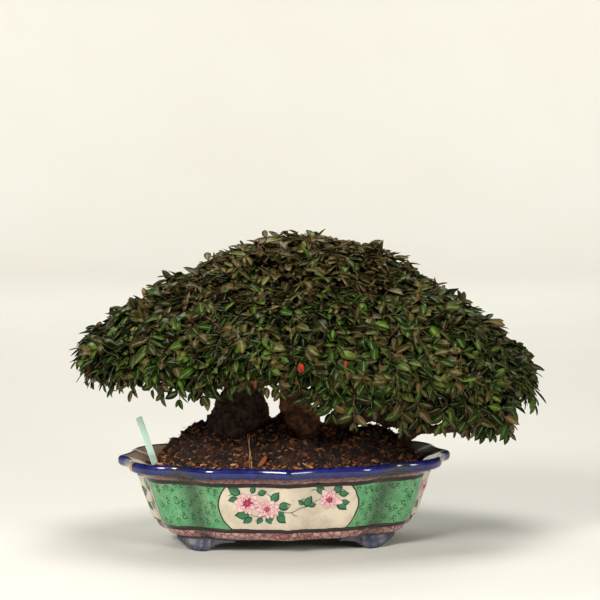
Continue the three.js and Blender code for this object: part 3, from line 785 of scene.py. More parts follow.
@dataclass
class BonsaiPot:
    """The lobed oval pot: bowl, rounded lip, sloping inner rim, drainage holes and four bracket feet.

    A level is how far it is drawn in at its ends, how far at its sides, and its height.
    """

    outline: LobedOutline
    outside: tuple[tuple[float, float, float], ...] = (
        (72, 52, 9.5), (56, 43, 12.5), (49, 39, 17.5), (46, 37, 23.5), (41, 33, 28.5), (32, 26, 54),
        (23, 19, 80), (16, 14, 87), (2.5, 2.5, 92), (0, 0, 98), (1.5, 1.5, 102.5), (5, 5, 104),
    )
    inside: tuple[tuple[float, float, float], ...] = (
        (10, 9, 102.5), (29, 25, 94), (40, 33, 64), (52, 42, 28.5), (66, 52, 18.5),
    )
    drain_x: float = 62.0
    drain_radius: float = 12.0
    foot_wall: float = 13.0
    foot_top: float = 14.5
    foot_wing: float = 8.0
    toe_middle: float = 0.45

    def wall_inset(self, z: float) -> tuple[float, float]:
        """Gives how far the outside is drawn in at a height, at its ends and at its sides."""
        levels = np.array(self.outside)
        at_ends, at_sides = (float(np.interp(z, levels[:, 2], levels[:, i])) for i in (0, 1))
        return at_ends, at_sides

    def wall_point(self, x: float, z: float, proud: float, panel: float = 0.0) -> Vector:
        """Finds a point on the outer wall for a painter's place.

        Args:
            x: Millimetres along the wall from the panel's middle, at that height.
            z: The height.
            proud: How far the point stands off the wall.
            panel: Where the panel's middle is, in millimetres along the rim.

        Returns:
            The point.
        """

        def on_wall(at_x: float, at_z: float) -> Vector:
            """Gives the point of the wall itself."""
            inset_x, inset_y = self.wall_inset(at_z)
            scale = 1 - inset_x / self.outline.half_length
            return self.outline.at(panel + at_x / scale, inset_x, inset_y, at_z)

        across = on_wall(x + 1.5, z) - on_wall(x - 1.5, z)
        upwards = on_wall(x, z + 1.5) - on_wall(x, z - 1.5)
        return on_wall(x, z) + across.cross(upwards).normalized() * proud

    def build(self) -> Object:
        """Draws the wall up, over the lip and down inside, closes the floor and adds the feet."""
        bm = bmesh.new()
        bm.verts.layers.float.new("rib")
        outer = smooth_path(self.outside, 4)
        inner = smooth_path([self.outside[-1], *self.inside], 4)[1:]
        profile = np.vstack([outer, inner])
        loft(bm, [self.outline.ring(*level) for level in profile], capped=False)
        self.close_floor(bm)
        bmesh.ops.recalc_face_normals(bm, faces=bm.faces)
        beyond = np.concatenate([[0], np.cumsum(np.linalg.norm(np.diff(inner, axis=0), axis=1))]) + 106.0
        heights = np.concatenate([outer[:, 2], beyond])
        self.map_glaze(bm, heights)
        for x_sign in (1, -1):
            for y_sign in (1, -1):
                self.add_foot(bm, x_sign, y_sign)
        return finish_piece(bm, "glazed_pot", (PORCELAIN, FOOT_GLAZE), ("pot",))

    def close_floor(self, bm: BMesh) -> None:
        """Fills the underside and the inner floor round the drainage holes and joins them there.

        Args:
            bm: The bowl's mesh.
        """
        open_edges = [edge for edge in bm.edges if edge.is_boundary]
        middle = (self.outside[0][2] + self.inside[-1][2]) / 2
        floors = (
            [e for e in open_edges if e.verts[0].co.z < middle],
            [e for e in open_edges if e.verts[0].co.z > middle],
        )
        holes: list[list[BMEdge]] = []
        for edges, z in zip(floors, (self.outside[0][2], self.inside[-1][2])):
            rims = []
            for x in (self.drain_x, -self.drain_x):
                place = Matrix.Translation((x, 0, z))
                radius = self.drain_radius
                rim = bmesh.ops.create_circle(bm, segments=32, radius=radius, matrix=place)["verts"]
                rims.append(list({edge for vert in rim for edge in vert.link_edges}))
            holes.append(rims)
            bmesh.ops.triangle_fill(bm, use_beauty=True, edges=edges + rims[0] + rims[1])
        for lower, upper in zip(*holes):
            bmesh.ops.bridge_loops(bm, edges=lower + upper)

    def map_glaze(self, bm: BMesh, heights: np.ndarray) -> None:
        """Lays the painter's map on the bowl, in millimetres: along the rim, and up it or over the lip.

        Args:
            bm: The bowl's mesh.
            heights: The map's height for each level of the bowl.
        """
        station = bm.verts.layers.int["station"]
        level = bm.verts.layers.int["level"]
        uv = bm.loops.layers.uv.new("glaze")
        step = self.outline.length / self.outline.stations
        for face in bm.faces:
            places = [vert[station] for vert in face.verts]
            at_seam = max(places) - min(places) > self.outline.stations / 2
            for loop in face.loops:
                place = loop.vert[station]
                if at_seam and place == 0:
                    place = self.outline.stations
                loop[uv].uv = (place * step, heights[loop.vert[level]])

    def add_foot(self, bm: BMesh, x_sign: int, y_sign: int) -> None:
        """Bends a block round one corner into a bracket foot with a fluted toe and two swept wings.

        Args:
            bm: The pot's mesh.
            x_sign: 1 for the feet on the right, -1 for those on the left.
            y_sign: 1 for the feet at the front, -1 for those at the back.
        """
        base_x = 1 - 62 / self.outline.half_length
        base_y = 1 - 46 / self.outline.half_depth
        path = smooth_path([(x * base_x, y * base_y) for x, y in self.outline.quarter[3:10]], 12)
        tangents = np.gradient(path, axis=0)
        tangents /= np.linalg.norm(tangents, axis=1)[:, None]
        where = np.linspace(0, 1, len(path))
        foot = bmesh.new()
        rib = foot.verts.layers.float.new("rib")
        bmesh.ops.create_cube(foot, size=1.0)
        for axis, cuts in ((0, 35), (2, 7), (1, 3)):
            edges = [e for e in foot.edges if abs(e.verts[0].co[axis] - e.verts[1].co[axis]) > 0.5]
            bmesh.ops.subdivide_edges(foot, edges=edges, cuts=cuts, use_grid_fill=True)
        for vert in foot.verts:
            along, height = vert.co.x + 0.5, vert.co.z + 0.5
            aside = abs(along - self.toe_middle)
            reach = self.toe_middle if along < self.toe_middle else 1 - self.toe_middle
            toe = clamp((1 - aside / reach) / 0.86) ** 1.8
            vert[rib] = max(0.0, 1 - aside / 0.06) ** 0.7
            spread = 4 * toe * (1 - height) ** 1.5
            ogee = 1.2 * math.sin(2 * math.pi * height) * toe
            flute = 1.1 * math.cos(2 * math.pi * aside / 0.2) * max(0.0, 1 - aside / 0.28)
            flute *= 1 - 0.4 * height
            front = 0.6 + spread + ogee + flute
            back = 1 + spread - self.foot_wall * (0.55 + 0.45 * toe)
            flare = front + (back - front) * (vert.co.y + 0.5)
            x, y = (np.interp(along, where, path[:, i]) for i in (0, 1))
            tx, ty = (np.interp(along, where, tangents[:, i]) for i in (0, 1))
            low = SOLE + (self.foot_wing - SOLE) * (1 - toe) + 1.6 * math.sin(math.pi * toe) ** 2 * (1 - toe)
            z = low + (self.foot_top - low) * height
            vert.co = ((x + ty * flare) * x_sign, (y - tx * flare) * y_sign, z)
        bmesh.ops.recalc_face_normals(foot, faces=foot.faces)
        merge(bm, foot, 1)


# ---- the painting on the pot


class Pigment(Enum):
    """The painter's colours."""

    LEAF = "#2a7a4c"
    LEAF_SHADE = "#0d3f2a"
    CURL = "#12492b"
    PETAL = "#e6c3bd"
    PETAL_EDGE = "#b8486a"
    ROSE = "#a01446"
    STAMEN = "#e0b8a8"
    STEM = "#2a5a40"


@dataclass
class Painter:
    """Lays strokes and petals of enamel on the pot's wall, each layer a little proud of the last."""

    pot: BonsaiPot
    panel: float
    bm: BMesh
    rng: random.Random
    layer: float = 0.24

    def settle(self, flat: BMesh, pigment: Pigment) -> None:
        """Wraps flat paint onto the wall in one colour.

        Args:
            flat: The paint, drawn in the wall's own millimetres. It is freed.
            pigment: Its colour.
        """
        paint = flat.verts.layers.float_color.new("enamel")
        colour = linear(pigment.value)
        for vert in flat.verts:
            vert[paint] = colour
            vert.co = self.pot.wall_point(vert.co.x, vert.co.y, self.layer, self.panel)
        merge(self.bm, flat)

    def stroke(
        self, path: Sequence[Sequence[float]], width: float, pigment: Pigment, taper: float = 0.8
    ) -> None:
        """Draws one brush stroke.

        Args:
            path: The points it passes, along the wall and up.
            width: Its width in the middle.
            pigment: Its colour.
            taper: How much thinner it is at its ends, from 0 to 1.
        """
        curve = smooth_path(path, 4)
        count = len(curve) - 1
        flat = bmesh.new()
        bmesh.ops.create_grid(flat, x_segments=count, y_segments=1, size=0.5)
        tangents = np.gradient(curve, axis=0)
        tangents /= np.maximum(np.linalg.norm(tangents, axis=1), 1e-9)[:, None]
        for vert in flat.verts:
            share = vert.co.x + 0.5
            i = round(share * count)
            half = 0.5 * width * (1 - taper * (2 * share - 1) ** 2)
            side = math.copysign(half, vert.co.y)
            vert.co = (curve[i][0] - tangents[i][1] * side, curve[i][1] + tangents[i][0] * side, 0)
        self.settle(flat, pigment)

    def touch_edge(
        self,
        place: tuple[float, float],
        size: tuple[float, float],
        turn: float,
        point: float,
        part: float,
        reach: float = 1.0,
    ) -> tuple[float, float]:
        """Gives a point of the outline of one touch of the brush.

        Args:
            place: Where its stalk end is, along the wall and up.
            size: Its length and width.
            turn: The way it points, in radians from the right.
            point: How pointed its far end is, from 0 to 1.
            part: Which point of the outline, in radians from the far end.
            reach: How far out from its middle, from 0 to 1.

        Returns:
            The point, along the wall and up.
        """
        length, width = size
        ahead, aside = math.cos(part) * reach, math.sin(part) * reach
        out = 0.5 * length * (ahead + 1)
        belly = 1.12 - 0.18 * ahead - 0.3 * ahead * ahead
        side = 0.5 * width * aside * (1 - point * max(0.0, ahead) ** 2) * belly
        cos, sin = math.cos(turn), math.sin(turn)
        return place[0] + out * cos - side * sin, place[1] + out * sin + side * cos

    def touch(
        self,
        place: tuple[float, float],
        size: tuple[float, float],
        turn: float,
        pigment: Pigment,
        point: float,
    ) -> None:
        """Lays down one leaf or petal in a single touch of the brush. The values are those of touch_edge."""
        flat = bmesh.new()
        bmesh.ops.create_circle(flat, cap_ends=True, cap_tris=True, segments=14, radius=1.0)
        for vert in flat.verts:
            part = math.atan2(vert.co.y, vert.co.x)
            vert.co = (*self.touch_edge(place, size, turn, point, part, min(1.0, vert.co.length)), 0)
        self.settle(flat, pigment)

    def leaf(self, x: float, z: float, turn: float, size: float = 12.0) -> None:
        """Paints one leaf: a dark touch, a lighter one within it and a midrib.

        Args:
            x: Where its stalk end is along the wall.
            z: The height there.
            turn: The way it points, in radians from the right.
            size: Its length, which the brush makes a fifth longer.
        """
        size *= 1.2
        cos, sin = math.cos(turn), math.sin(turn)
        self.touch((x, z), (size, size * 0.6), turn, Pigment.LEAF_SHADE, 0.8)
        self.layer += 0.04
        within = (x + size * (0.1 * cos - 0.04 * sin), z + size * (0.1 * sin + 0.04 * cos))
        self.touch(within, (size * 0.78, size * 0.36), turn, Pigment.LEAF, 0.8)
        self.layer += 0.04
        rib = [(x + share * size * cos, z + share * size * sin) for share in (-0.25, 0.3, 0.85)]
        self.stroke(rib, 0.7, Pigment.LEAF_SHADE)
        self.layer -= 0.08

    def petal(self, x: float, z: float, way: float, length: float, width: float) -> None:
        """Paints one petal: a pale touch, its rose outline and three strokes out of the heart.

        Args:
            x: The flower's place along the wall.
            z: The flower's height.
            way: The way it points, in radians from the right.
            length: Its length.
            width: Its width.
        """
        start = (x + 0.06 * length * math.cos(way), z + 0.06 * length * math.sin(way))
        size = (length, width)
        self.touch(start, size, way, Pigment.PETAL, 0.1)
        self.layer += 0.03
        edge = [self.touch_edge(start, size, way, 0.1, math.radians(part)) for part in range(-150, 151, 30)]
        self.stroke(edge, 0.42, Pigment.PETAL_EDGE, 0.5)
        rays = ((-0.24, 0.4, Pigment.PETAL_EDGE), (0.0, 0.8, Pigment.ROSE), (0.22, 0.4, Pigment.PETAL_EDGE))
        for swing, thick, pigment in rays:
            far, bent = self.rng.uniform(0.45, 0.85) * length, way + swing
            reaches = [share * far for share in (0.0, 0.5, 1.0)]
            ray = [(x + reach * math.cos(bent), z + reach * math.sin(bent)) for reach in reaches]
            self.stroke(ray, thick, pigment, 0.9)
        self.layer -= 0.03

    def bloom(self, x: float, z: float, radius: float, heart: float) -> None:
        """Paints one open flower, wider than high: two rounds of petals, a rose heart and small stamens.

        Args:
            x: Its place along the wall.
            z: Its height.
            radius: How long its petals are.
            heart: How long the heart's strokes are.
        """
        turn = self.rng.uniform(0, 1)
        for ring, (count, reach) in enumerate(((10, 1.0), (7, 0.66))):
            self.layer += 0.05
            for i in range(count):
                way = turn + (i + 0.5 * ring) * 2 * math.pi / count + self.rng.uniform(-0.2, 0.2)
                long = radius * reach * (1 + 0.2 * abs(math.cos(way))) * self.rng.uniform(0.74, 1.12)
                self.petal(x, z, way, long, long * self.rng.uniform(0.42, 0.62))
        self.layer += 0.06
        for i in range(7):
            way = i * 0.9 + self.rng.uniform(-0.2, 0.2)
            self.touch((x, z), (heart * self.rng.uniform(0.8, 1.3), heart * 0.5), way, Pigment.ROSE, 0.6)
        self.layer += 0.05
        for i in range(4):
            spot = (x + 1.1 * math.cos(i * 1.6) - 0.3, z + 1.1 * math.sin(i * 1.6))
            self.touch(spot, (0.6, 0.6), 0.0, Pigment.STAMEN, 0.0)
        self.layer -= 0.21

    def curl(self, x: float, z: float, size: float, turn: float) -> None:
        """Paints one ring of the green ground, loose and wound a little inwards.

        Args:
            x: Its place along the wall.
            z: Its height.
            size: Its radius.
            turn: Where it starts, in radians from the right.
        """
        hook = []
        for k in range(8):
            reach, way = size * (1.1 - 0.05 * k), turn + k * 0.8
            hook.append((x + reach * math.cos(way), z + 0.9 * reach * math.sin(way)))
        self.stroke(hook, 1.15, Pigment.CURL, 0.6)


@dataclass
class PotPainting:
    """The brushed ornament: flower sprays on the cream panels, rings on the green grounds and end sprigs."""

    pot: BonsaiPot
    ring_rows: tuple[float, ...] = (72.5, 53.0, 33.0)
    # Blooms of the spray: along the wall, height, radius and how long the heart's strokes are.
    blooms: tuple[tuple[float, float, float, float], ...] = (
        (-49.5, 60.0, 12.6, 6.5), (-26.0, 52.5, 12.0, 3.8), (51.0, 62.5, 12.0, 4.2),
    )
    # Leaves of the spray: along the wall, height, the way they point in degrees, and length.
    leaves: tuple[tuple[float, float, float, float], ...] = (
        (-58, 71, 150, 14), (-61, 66, 195, 10), (-44, 72, 75, 9), (-37, 71, 20, 10), (-20, 62, 55, 13),
        (-12, 55, 15, 14), (-12, 50, -40, 9), (-47, 46, 185, 15), (-44, 42, 215, 11), (-32, 42, 235, 9),
        (-27, 42, -50, 9), (-18, 43, 210, 10), (-14, 44, -35, 12), (-8, 47, -70, 8), (22, 55, 60, 13),
        (26, 56, 10, 8), (20, 58, 140, 8), (43, 70, 115, 12), (57, 71, 45, 12), (63, 69, 5, 10),
        (60, 59, -40, 13), (64, 58, 5, 10),
    )

    # Leaves of the sprig on each end panel.
    end_leaves: tuple[tuple[float, float, float, float], ...] = (
        (-19, 41, 150, 11), (-15, 44, -55, 10), (3, 53, 100, 10), (4, 46, -60, 10), (9, 60, 150, 9),
        (16, 67, 65, 11), (17, 66, 0, 9), (20, 49, 25, 12), (14, 47, -65, 9),
    )

    def paint_spray(self, painter: Painter) -> None:
        """Paints the stems, then the leaves, then the blooms."""
        stems = (
            ((-60, 66), (-48, 60), (-30, 52), (-12, 50), (4, 49), (14, 53), (24, 56), (36, 62), (46, 65)),
            ((-14, 50), (-24, 44), (-36, 43), (-46, 45)),
            ((4, 49), (8, 45), (12, 44)),
            ((24, 56), (30, 54), (34, 55)),
            ((-72, 69), (-69, 70.5), (-65, 70)),
            ((-36, 74), (-32, 75), (-27, 73.5)),
            ((-27, 72), (-23, 70), (-20, 65)),
            ((-6, 60), (-3, 57), (-2, 54)),
            ((60, 74), (67, 75), (71, 72)),
            ((29, 75), (33, 76), (38, 75)),
            ((16, 62), (19, 65), (23, 62), (22, 59)),
            ((63, 68), (67, 67), (70, 66)),
            ((-10, 39), (-6, 43), (-3, 41)),
            ((-40, 38), (-35, 36), (-30, 39)),
        )
        for stem in stems:
            painter.stroke(stem, 0.9, Pigment.STEM, 0.5)
        painter.layer += 0.05
        for x, z, degrees, size in self.leaves:
            painter.leaf(x, z, math.radians(degrees), size)
        painter.layer += 0.08
        for x, z, radius, heart in self.blooms:
            painter.bloom(x, z, radius, heart)
        painter.layer -= 0.13

    def paint_ground(self, painter: Painter) -> None:
        """Strews small rings over both green grounds, with a few dabs between them."""
        rng = painter.rng
        for side in (1, -1):
            for row, z in enumerate(self.ring_rows):
                x = 87.0 + 4 * (row % 2)
                while x < 168:
                    rise = rng.uniform(-6.5, 6.5)
                    painter.curl(side * x, z + rise, rng.uniform(2.2, 3.0), rng.uniform(0, 6.3))
                    if rng.random() < 0.6:
                        rise += rng.uniform(4.0, 6.0) * rng.choice((-1, 1))
                        painter.curl(side * (x + 2.5), z + rise, rng.uniform(1.4, 2.2), rng.uniform(0, 6.3))
                    x += rng.uniform(8.0, 12.0)
            for _ in range(40):
                dab = (side * rng.uniform(86, 168), rng.uniform(30, 76))
                painter.touch(dab, (rng.uniform(0.9, 1.8), 0.7), rng.uniform(0, 3.1), Pigment.CURL, 0.3)

    def paint_end(self, painter: Painter) -> None:
        """Paints a leafy sprig with one bloom on an end panel."""
        painter.stroke(((-25, 35), (-13, 45), (2, 52), (17, 68)), 1.0, Pigment.STEM, 0.5)
        painter.stroke(((-4, 49), (8, 46), (21, 49)), 0.8, Pigment.STEM, 0.5)
        for x, z, degrees, size in self.end_leaves:
            painter.leaf(x, z, math.radians(degrees), size)
        painter.bloom(-7, 60, 9.0, 3.2)

    def build(self) -> Object:
        """Paints the front and back panels, the grounds and the ends."""
        bm = bmesh.new()
        bm.verts.layers.float_color.new("enamel")
        rng = random.Random(SEED)
        length = self.pot.outline.length
        for panel in (0.0, length / 2):
            painter = Painter(self.pot, panel, bm, rng)
            self.paint_ground(painter)
            self.paint_spray(painter)
        for panel in (length / 4, 3 * length / 4):
            self.paint_end(Painter(self.pot, panel, bm, rng))
        bmesh.ops.recalc_face_normals(bm, faces=bm.faces)
        return finish_piece(bm, "enamel_painting", (ENAMEL,))


# ---- soil


@dataclass
class SoilMound:
    """The heaped potting mix, with its crumbs, bark chips and fibres."""

    outline: LobedOutline
    fill: tuple[tuple[float, float, float], ...] = ((66.4, 52.4, 18.9), (52.4, 42.4, 28.5), (29.4, 25.4, 94))
    heap: tuple[tuple[float, float, float], ...] = (
        (29.4, 25.4, 94), (44, 38, 100), (64, 54, 122), (92, 76, 135), (146, 104, 142), (203, 131, 144),
    )
    crumbs: int = 4300
    chips: int = 460
    fibres: int = 420
    # Straw-coloured strands lie down the front slope: x at the top and at the foot.
    strands: tuple[tuple[float, float], ...] = ((-46.0, -41.0), (-43.5, -44.5))
    large_chip: Vector = field(default_factory=lambda: Vector((-28, -82, 108)))

    def heaped(self, ring: np.ndarray) -> np.ndarray:
        """Leans the heap, sinks it where it is lower and roughens it at four sizes of clod.

        Args:
            ring: The places of one ring of the mound.

        Returns:
            Their new places.
        """
        made = ring.copy()
        for point in made:
            share = clamp((point[2] - 95) / 40)
            x, y = point[0], point[1]
            lumps = 3.5 * math.sin(x / 9) * math.cos(y / 8) + 2.5 * math.sin(x / 21 + y / 15)
            point[0] += 11 * share
            sunk = 4.5 * (clamp((x + 40) / 60) - clamp((x - 60) / 40))
            dip = 7 * math.exp(-(((x - 20) / 26) ** 2) - ((y + 30) / 20) ** 2)
            point[2] += share * (lumps - 0.035 * (x + 90) - sunk - dip)
            near = Vector(point)
            rough = clamp((near.z - 93) / 8)
            for size, swell in ((16.0, 5.0), (7.0, 4.4), (3.4, 2.4), (1.8, 1.0)):
                point[2] += rough * swell * noise.noise(near / size)
        return made

    def build(self) -> list[Object]:
        """Draws the fill up out of the pot into its heap, then strews crumbs, chips and fibres on it."""
        bm = bmesh.new()
        fill = smooth_path(self.fill, 2)
        heap = smooth_path(self.heap, 12)[1:]
        rings = [self.outline.ring(*level) for level in np.vstack([fill, heap])]
        verts = loft(bm, [self.heaped(ring) for ring in rings])
        bmesh.ops.triangulate(bm, faces=[face for face in bm.faces if len(face.verts) > 4])
        bmesh.ops.recalc_face_normals(bm, faces=bm.faces)
        bm.normal_update()
        level = bm.verts.layers.int["level"]
        spots = [(v.co.copy(), v.normal.copy()) for v in verts if v[level] > len(fill) + 2]
        mound = finish_piece(bm, "soil_mound", (MIX,), ("soil",))
        return [mound, self.scatter(spots)]

    def crumb_shapes(self, rng: random.Random) -> list[Mesh]:
        """Makes a few knobbly crumbs about 2 mm across.

        Args:
            rng: What draws their shapes.

        Returns:
            The shapes.
        """
        shapes = []
        for i in range(5):
            bm = bmesh.new()
            verts = bmesh.ops.create_icosphere(bm, subdivisions=1, radius=1.0)["verts"]
            for vert in verts:
                vert.co *= rng.uniform(0.55, 1.35)
            bmesh.ops.scale(bm, vec=(1.4, 0.9, 0.75), verts=verts)
            shapes.append(as_shape(bm, f"crumb_{i}"))
        return shapes

    def chip_shapes(self, rng: random.Random) -> list[Mesh]:
        """Makes a few torn slivers 1 mm long by about 0.4 mm, to be enlarged, with chamfered edges.

        Args:
            rng: What draws their shapes.

        Returns:
            The shapes.
        """
        shapes = []
        for i in range(5):
            bm = bmesh.new()
            bmesh.ops.create_cube(bm, size=1.0)
            long = [edge for edge in bm.edges if abs(edge.verts[0].co.x - edge.verts[1].co.x) > 0.5]
            bmesh.ops.subdivide_edges(bm, edges=long, cuts=2)
            for vert in bm.verts:
                taper = 1 - 0.5 * rng.random() * abs(2 * vert.co.x) ** 2
                vert.co.y *= 0.42 * taper * rng.uniform(0.7, 1.2)
                vert.co.z *= 0.14 * rng.uniform(0.7, 1.3)
                vert.co.x *= rng.uniform(0.85, 1.15)
                vert.co.z += 0.12 * vert.co.x * vert.co.x
            bmesh.ops.bevel(
                bm, geom=bm.edges, offset=0.03, segments=1, profile=0.5, affect="EDGES", material=-1
            )
            bmesh.ops.recalc_face_normals(bm, faces=bm.faces)
            shapes.append(as_shape(bm, f"sliver_{i}"))
        return shapes

    def scatter(self, spots: Sequence[tuple[Vector, Vector]]) -> Object:
        """Strews crumbs, chips and fibres over the mound.

        Args:
            spots: Places on the mound with the way that the surface looks at each.

        Returns:
            The piece that holds them all.
        """
        rng = random.Random(SEED + 1)
        crumbs, chips = self.crumb_shapes(rng), self.chip_shapes(rng)
        bm = bmesh.new()
        bm.verts.layers.float.new("grit")

        def strew(part: BMesh, material: int, shade: float) -> None:
            """Adds one grain with its material and its shade."""
            grit = part.verts.layers.float.new("grit")
            for vert in part.verts:
                vert[grit] = shade
            merge(bm, part, material)

        rim = [spot for spot in spots if spot[0].z < 104]
        for count, shapes, material in ((self.crumbs, crumbs, 0), (self.chips, chips, 1)):
            for i in range(count):
                choice = rim if material == 1 and i % 3 else spots
                place, normal = rng.choice(choice)
                way = Vector((rng.uniform(-1, 1), rng.uniform(-1, 1), rng.uniform(-0.4, 0.4)))
                size = 0.9 + 2.0 * rng.random() ** 2 if material == 0 else 2.5 + 6.0 * rng.random() ** 2
                face = normal + way * rng.uniform(-0.6, 0.6)
                # Crumbs higher up, towards the trunks, are darker.
                low = 1.0 if place.z < 114 else 0.75
                shade = low * (rng.random() ** 2.7 if material == 0 else rng.uniform(0.1, 0.95))
                matrix = seat(place + normal * size * (0.15 + 0.1 * material), way, face, size)
                strew(copy_of(rng.choice(shapes), matrix), material, shade)
        for _ in range(self.fibres):
            place, normal = rng.choice(spots)
            way = Vector((rng.uniform(-1, 1), rng.uniform(-1, 1), rng.uniform(-0.5, 0.2))).normalized()
            long = rng.uniform(6, 16)
            middle = place + way * long / 2 + normal * rng.uniform(1.0, 2.5)
            end = place + way * long + normal * rng.uniform(-1.5, 0.5)
            fibre = bmesh.new()
            tube(fibre, smooth_path([(*place, 0.32), (*middle, 0.28), (*end, 0.12)], 3), 4)
            strew(fibre, 1, rng.uniform(0.1, 0.8))
        for top, foot in self.strands:
            path = []
            for y in range(-52, -95, -7):
                x = top + (foot - top) * (-52 - y) / 42 + rng.uniform(-0.6, 0.6)
                near = min(spots, key=lambda spot: math.hypot(spot[0].x - x, spot[0].y - y))[0]
                path.append((x, y, near.z + 1.0, 0.45))
            fibre = bmesh.new()
            tube(fibre, smooth_path(path, 3), 5)
            strew(fibre, 1, 0.8)
        # The one large orange chip lies on the front slope.
        place, normal = min(spots, key=lambda spot: (spot[0] - self.large_chip).length)
        strew(copy_of(chips[0], seat(place + normal * 1.2, Vector((0.62, 0, 0.78)), normal, 15)), 1, 0.4)
        return finish_piece(bm, "soil_crumbs_and_chips", (MIX, CHIP), smooth=False)


# ---- the dome of leaves: its shape


class Side(Enum):
    """Which surface of the dome a place is on."""

    TOP = "top"
    UNDER = "under"


@dataclass(frozen=True)
class LeafyBranch:
    """One bunch of the dome, which grows on a limb of its own."""

    name: str
    rho: float
    angle: float

    @property
    def seed(self) -> tuple[float, float]:
        """The middle of the bunch's share, in the dome's plan drawn as a unit circle."""
        return self.rho * math.cos(self.angle), self.rho * math.sin(self.angle)


@dataclass
class Dome:
    """The form that the leaves stand out of. rho runs from 0 in its middle to 1 at its edge."""

    middle_x: float = 25.0
    half_length: float = 282.0
    half_depth: float = 178.0
    top: float = 363.0
    edge: float = 200.0
    edge_fall: float = 0.088
    front_lift: float = 18.0
    thickness: float = 32.0
    # How far the leaves' own form rises above the plain dome, from its middle to its edge.
    fullness: tuple[tuple[float, float], ...] = (
        (0, -1), (0.2, 6), (0.34, 8), (0.46, -2), (0.6, 1), (0.8, 7), (0.95, 6), (1.1, 3),
    )
    # How far the edge hangs lower, from left to right.
    hem: tuple[tuple[float, float], ...] = (
        (-260, 6), (-210, 14), (-140, 17), (-90, 15), (-60, -5), (-22, -9), (0, 3), (22, 3), (40, 12),
        (120, 11), (160, 7), (220, 4), (262, 1), (300, -6),
    )

    def branches(self) -> list[LeafyBranch]:
        """Lists the bunches: a crown, a ring of shoulders and a ring of skirts."""
        found = [LeafyBranch("crown", 0.0, 0.0)]
        for word, count, rho, turn in (("shoulder", 5, 0.5, 0.25), ("skirt", 9, 0.88, 0.0)):
            for i in range(count):
                found.append(LeafyBranch(f"{word}_{i + 1}", rho, (i + turn) / count * 2 * math.pi))
        return found

    def plan(self, rho: float, angle: float) -> tuple[float, float]:
        """Gives x and y of a place."""
        waver = 0.022 * math.sin(3 * angle + 1) + 0.016 * math.sin(7 * angle)
        reach = rho * (1 + waver + 0.012 * math.sin(11 * angle + 2))
        x = self.middle_x + self.half_length * reach * math.cos(angle)
        return x, self.half_depth * reach * math.sin(angle)

    def point(self, rho: float, angle: float, side: Side = Side.TOP) -> Vector:
        """Gives the point of the dome's top or underside at a place.

        Args:
            rho: The place from the dome's middle to its edge.
            angle: The place round the dome.
            side: Which surface it is on.

        Returns:
            The point.
        """
        x, y = self.plan(rho, angle)
        edge = self.edge - self.edge_fall * (x - self.middle_x) + self.front_lift * (y / self.half_depth) ** 2
        rise = (self.top - edge) * max(0.0, 1 - rho**1.75) ** 0.9
        rise += float(np.interp(rho, *zip(*self.fullness))) - float(np.interp(x, *zip(*self.hem))) * rho**6
        bump = 3.2 * math.sin(x / 23 + 1) * math.cos(y / 19) + 2.4 * math.sin(x / 11 + y / 13)
        inside = max(0.0, 1 - rho * rho)
        if side is Side.TOP:
            return Vector((x, y, edge + rise + bump * inside))
        droop = (8 + 0.07 * (x + 250)) * rho**3 * (1 - 0.6 * clamp((x - 250) / 40))
        return Vector((x, y, edge + rise - droop - self.thickness * math.sqrt(inside) + bump * inside))

    def frame(self, rho: float, angle: float, side: Side = Side.TOP) -> tuple[Vector, Vector, Vector]:
        """Gives a place's point and how its surface lies.

        Args:
            rho: The place from the dome's middle to its edge.
            angle: The place round the dome.
            side: Which surface it is on.

        Returns:
            The point, the way that the surface looks and the way down its slope.
        """
        down = self.point(rho + 0.02, angle, side) - self.point(max(0.0, rho - 0.02), angle, side)
        around = self.point(rho, angle + 0.02, side) - self.point(rho, angle - 0.02, side)
        if around.length < 1e-3:
            around = Vector((-math.sin(angle), math.cos(angle), 0))
        normal = down.cross(around).normalized()
        if (side is Side.TOP) != (normal.z > 0):
            normal.negate()
        return self.point(rho, angle, side), normal, down.normalized()

    def even_rho(self, share: float, limit: float = 0.97) -> float:
        """Gives the rho within which a share of the dome's top surface lies, so that places spread evenly.

        Args:
            share: The share of the surface.
            limit: The rho that holds all of it.

        Returns:
            The rho.
        """
        rhos = np.linspace(0.0, limit, 60)
        radius = 0.5 * (self.half_length + self.half_depth)
        heights = (self.top - self.edge) * np.maximum(0.0, 1 - rhos**1.75) ** 0.9
        slope = np.gradient(heights, rhos) / radius
        area = np.cumsum(rhos * np.sqrt(1 + slope**2))
        return float(np.interp(share, area / area[-1], rhos))


def branch_at(x: float, y: float, dome: Dome, branches: Sequence[LeafyBranch]) -> LeafyBranch:
    """Finds the bunch that a place belongs to."""
    u, v = (x - dome.middle_x) / dome.half_length, y / dome.half_depth
    return min(branches, key=lambda branch: (branch.seed[0] - u) ** 2 + (branch.seed[1] - v) ** 2)


# ---- wood


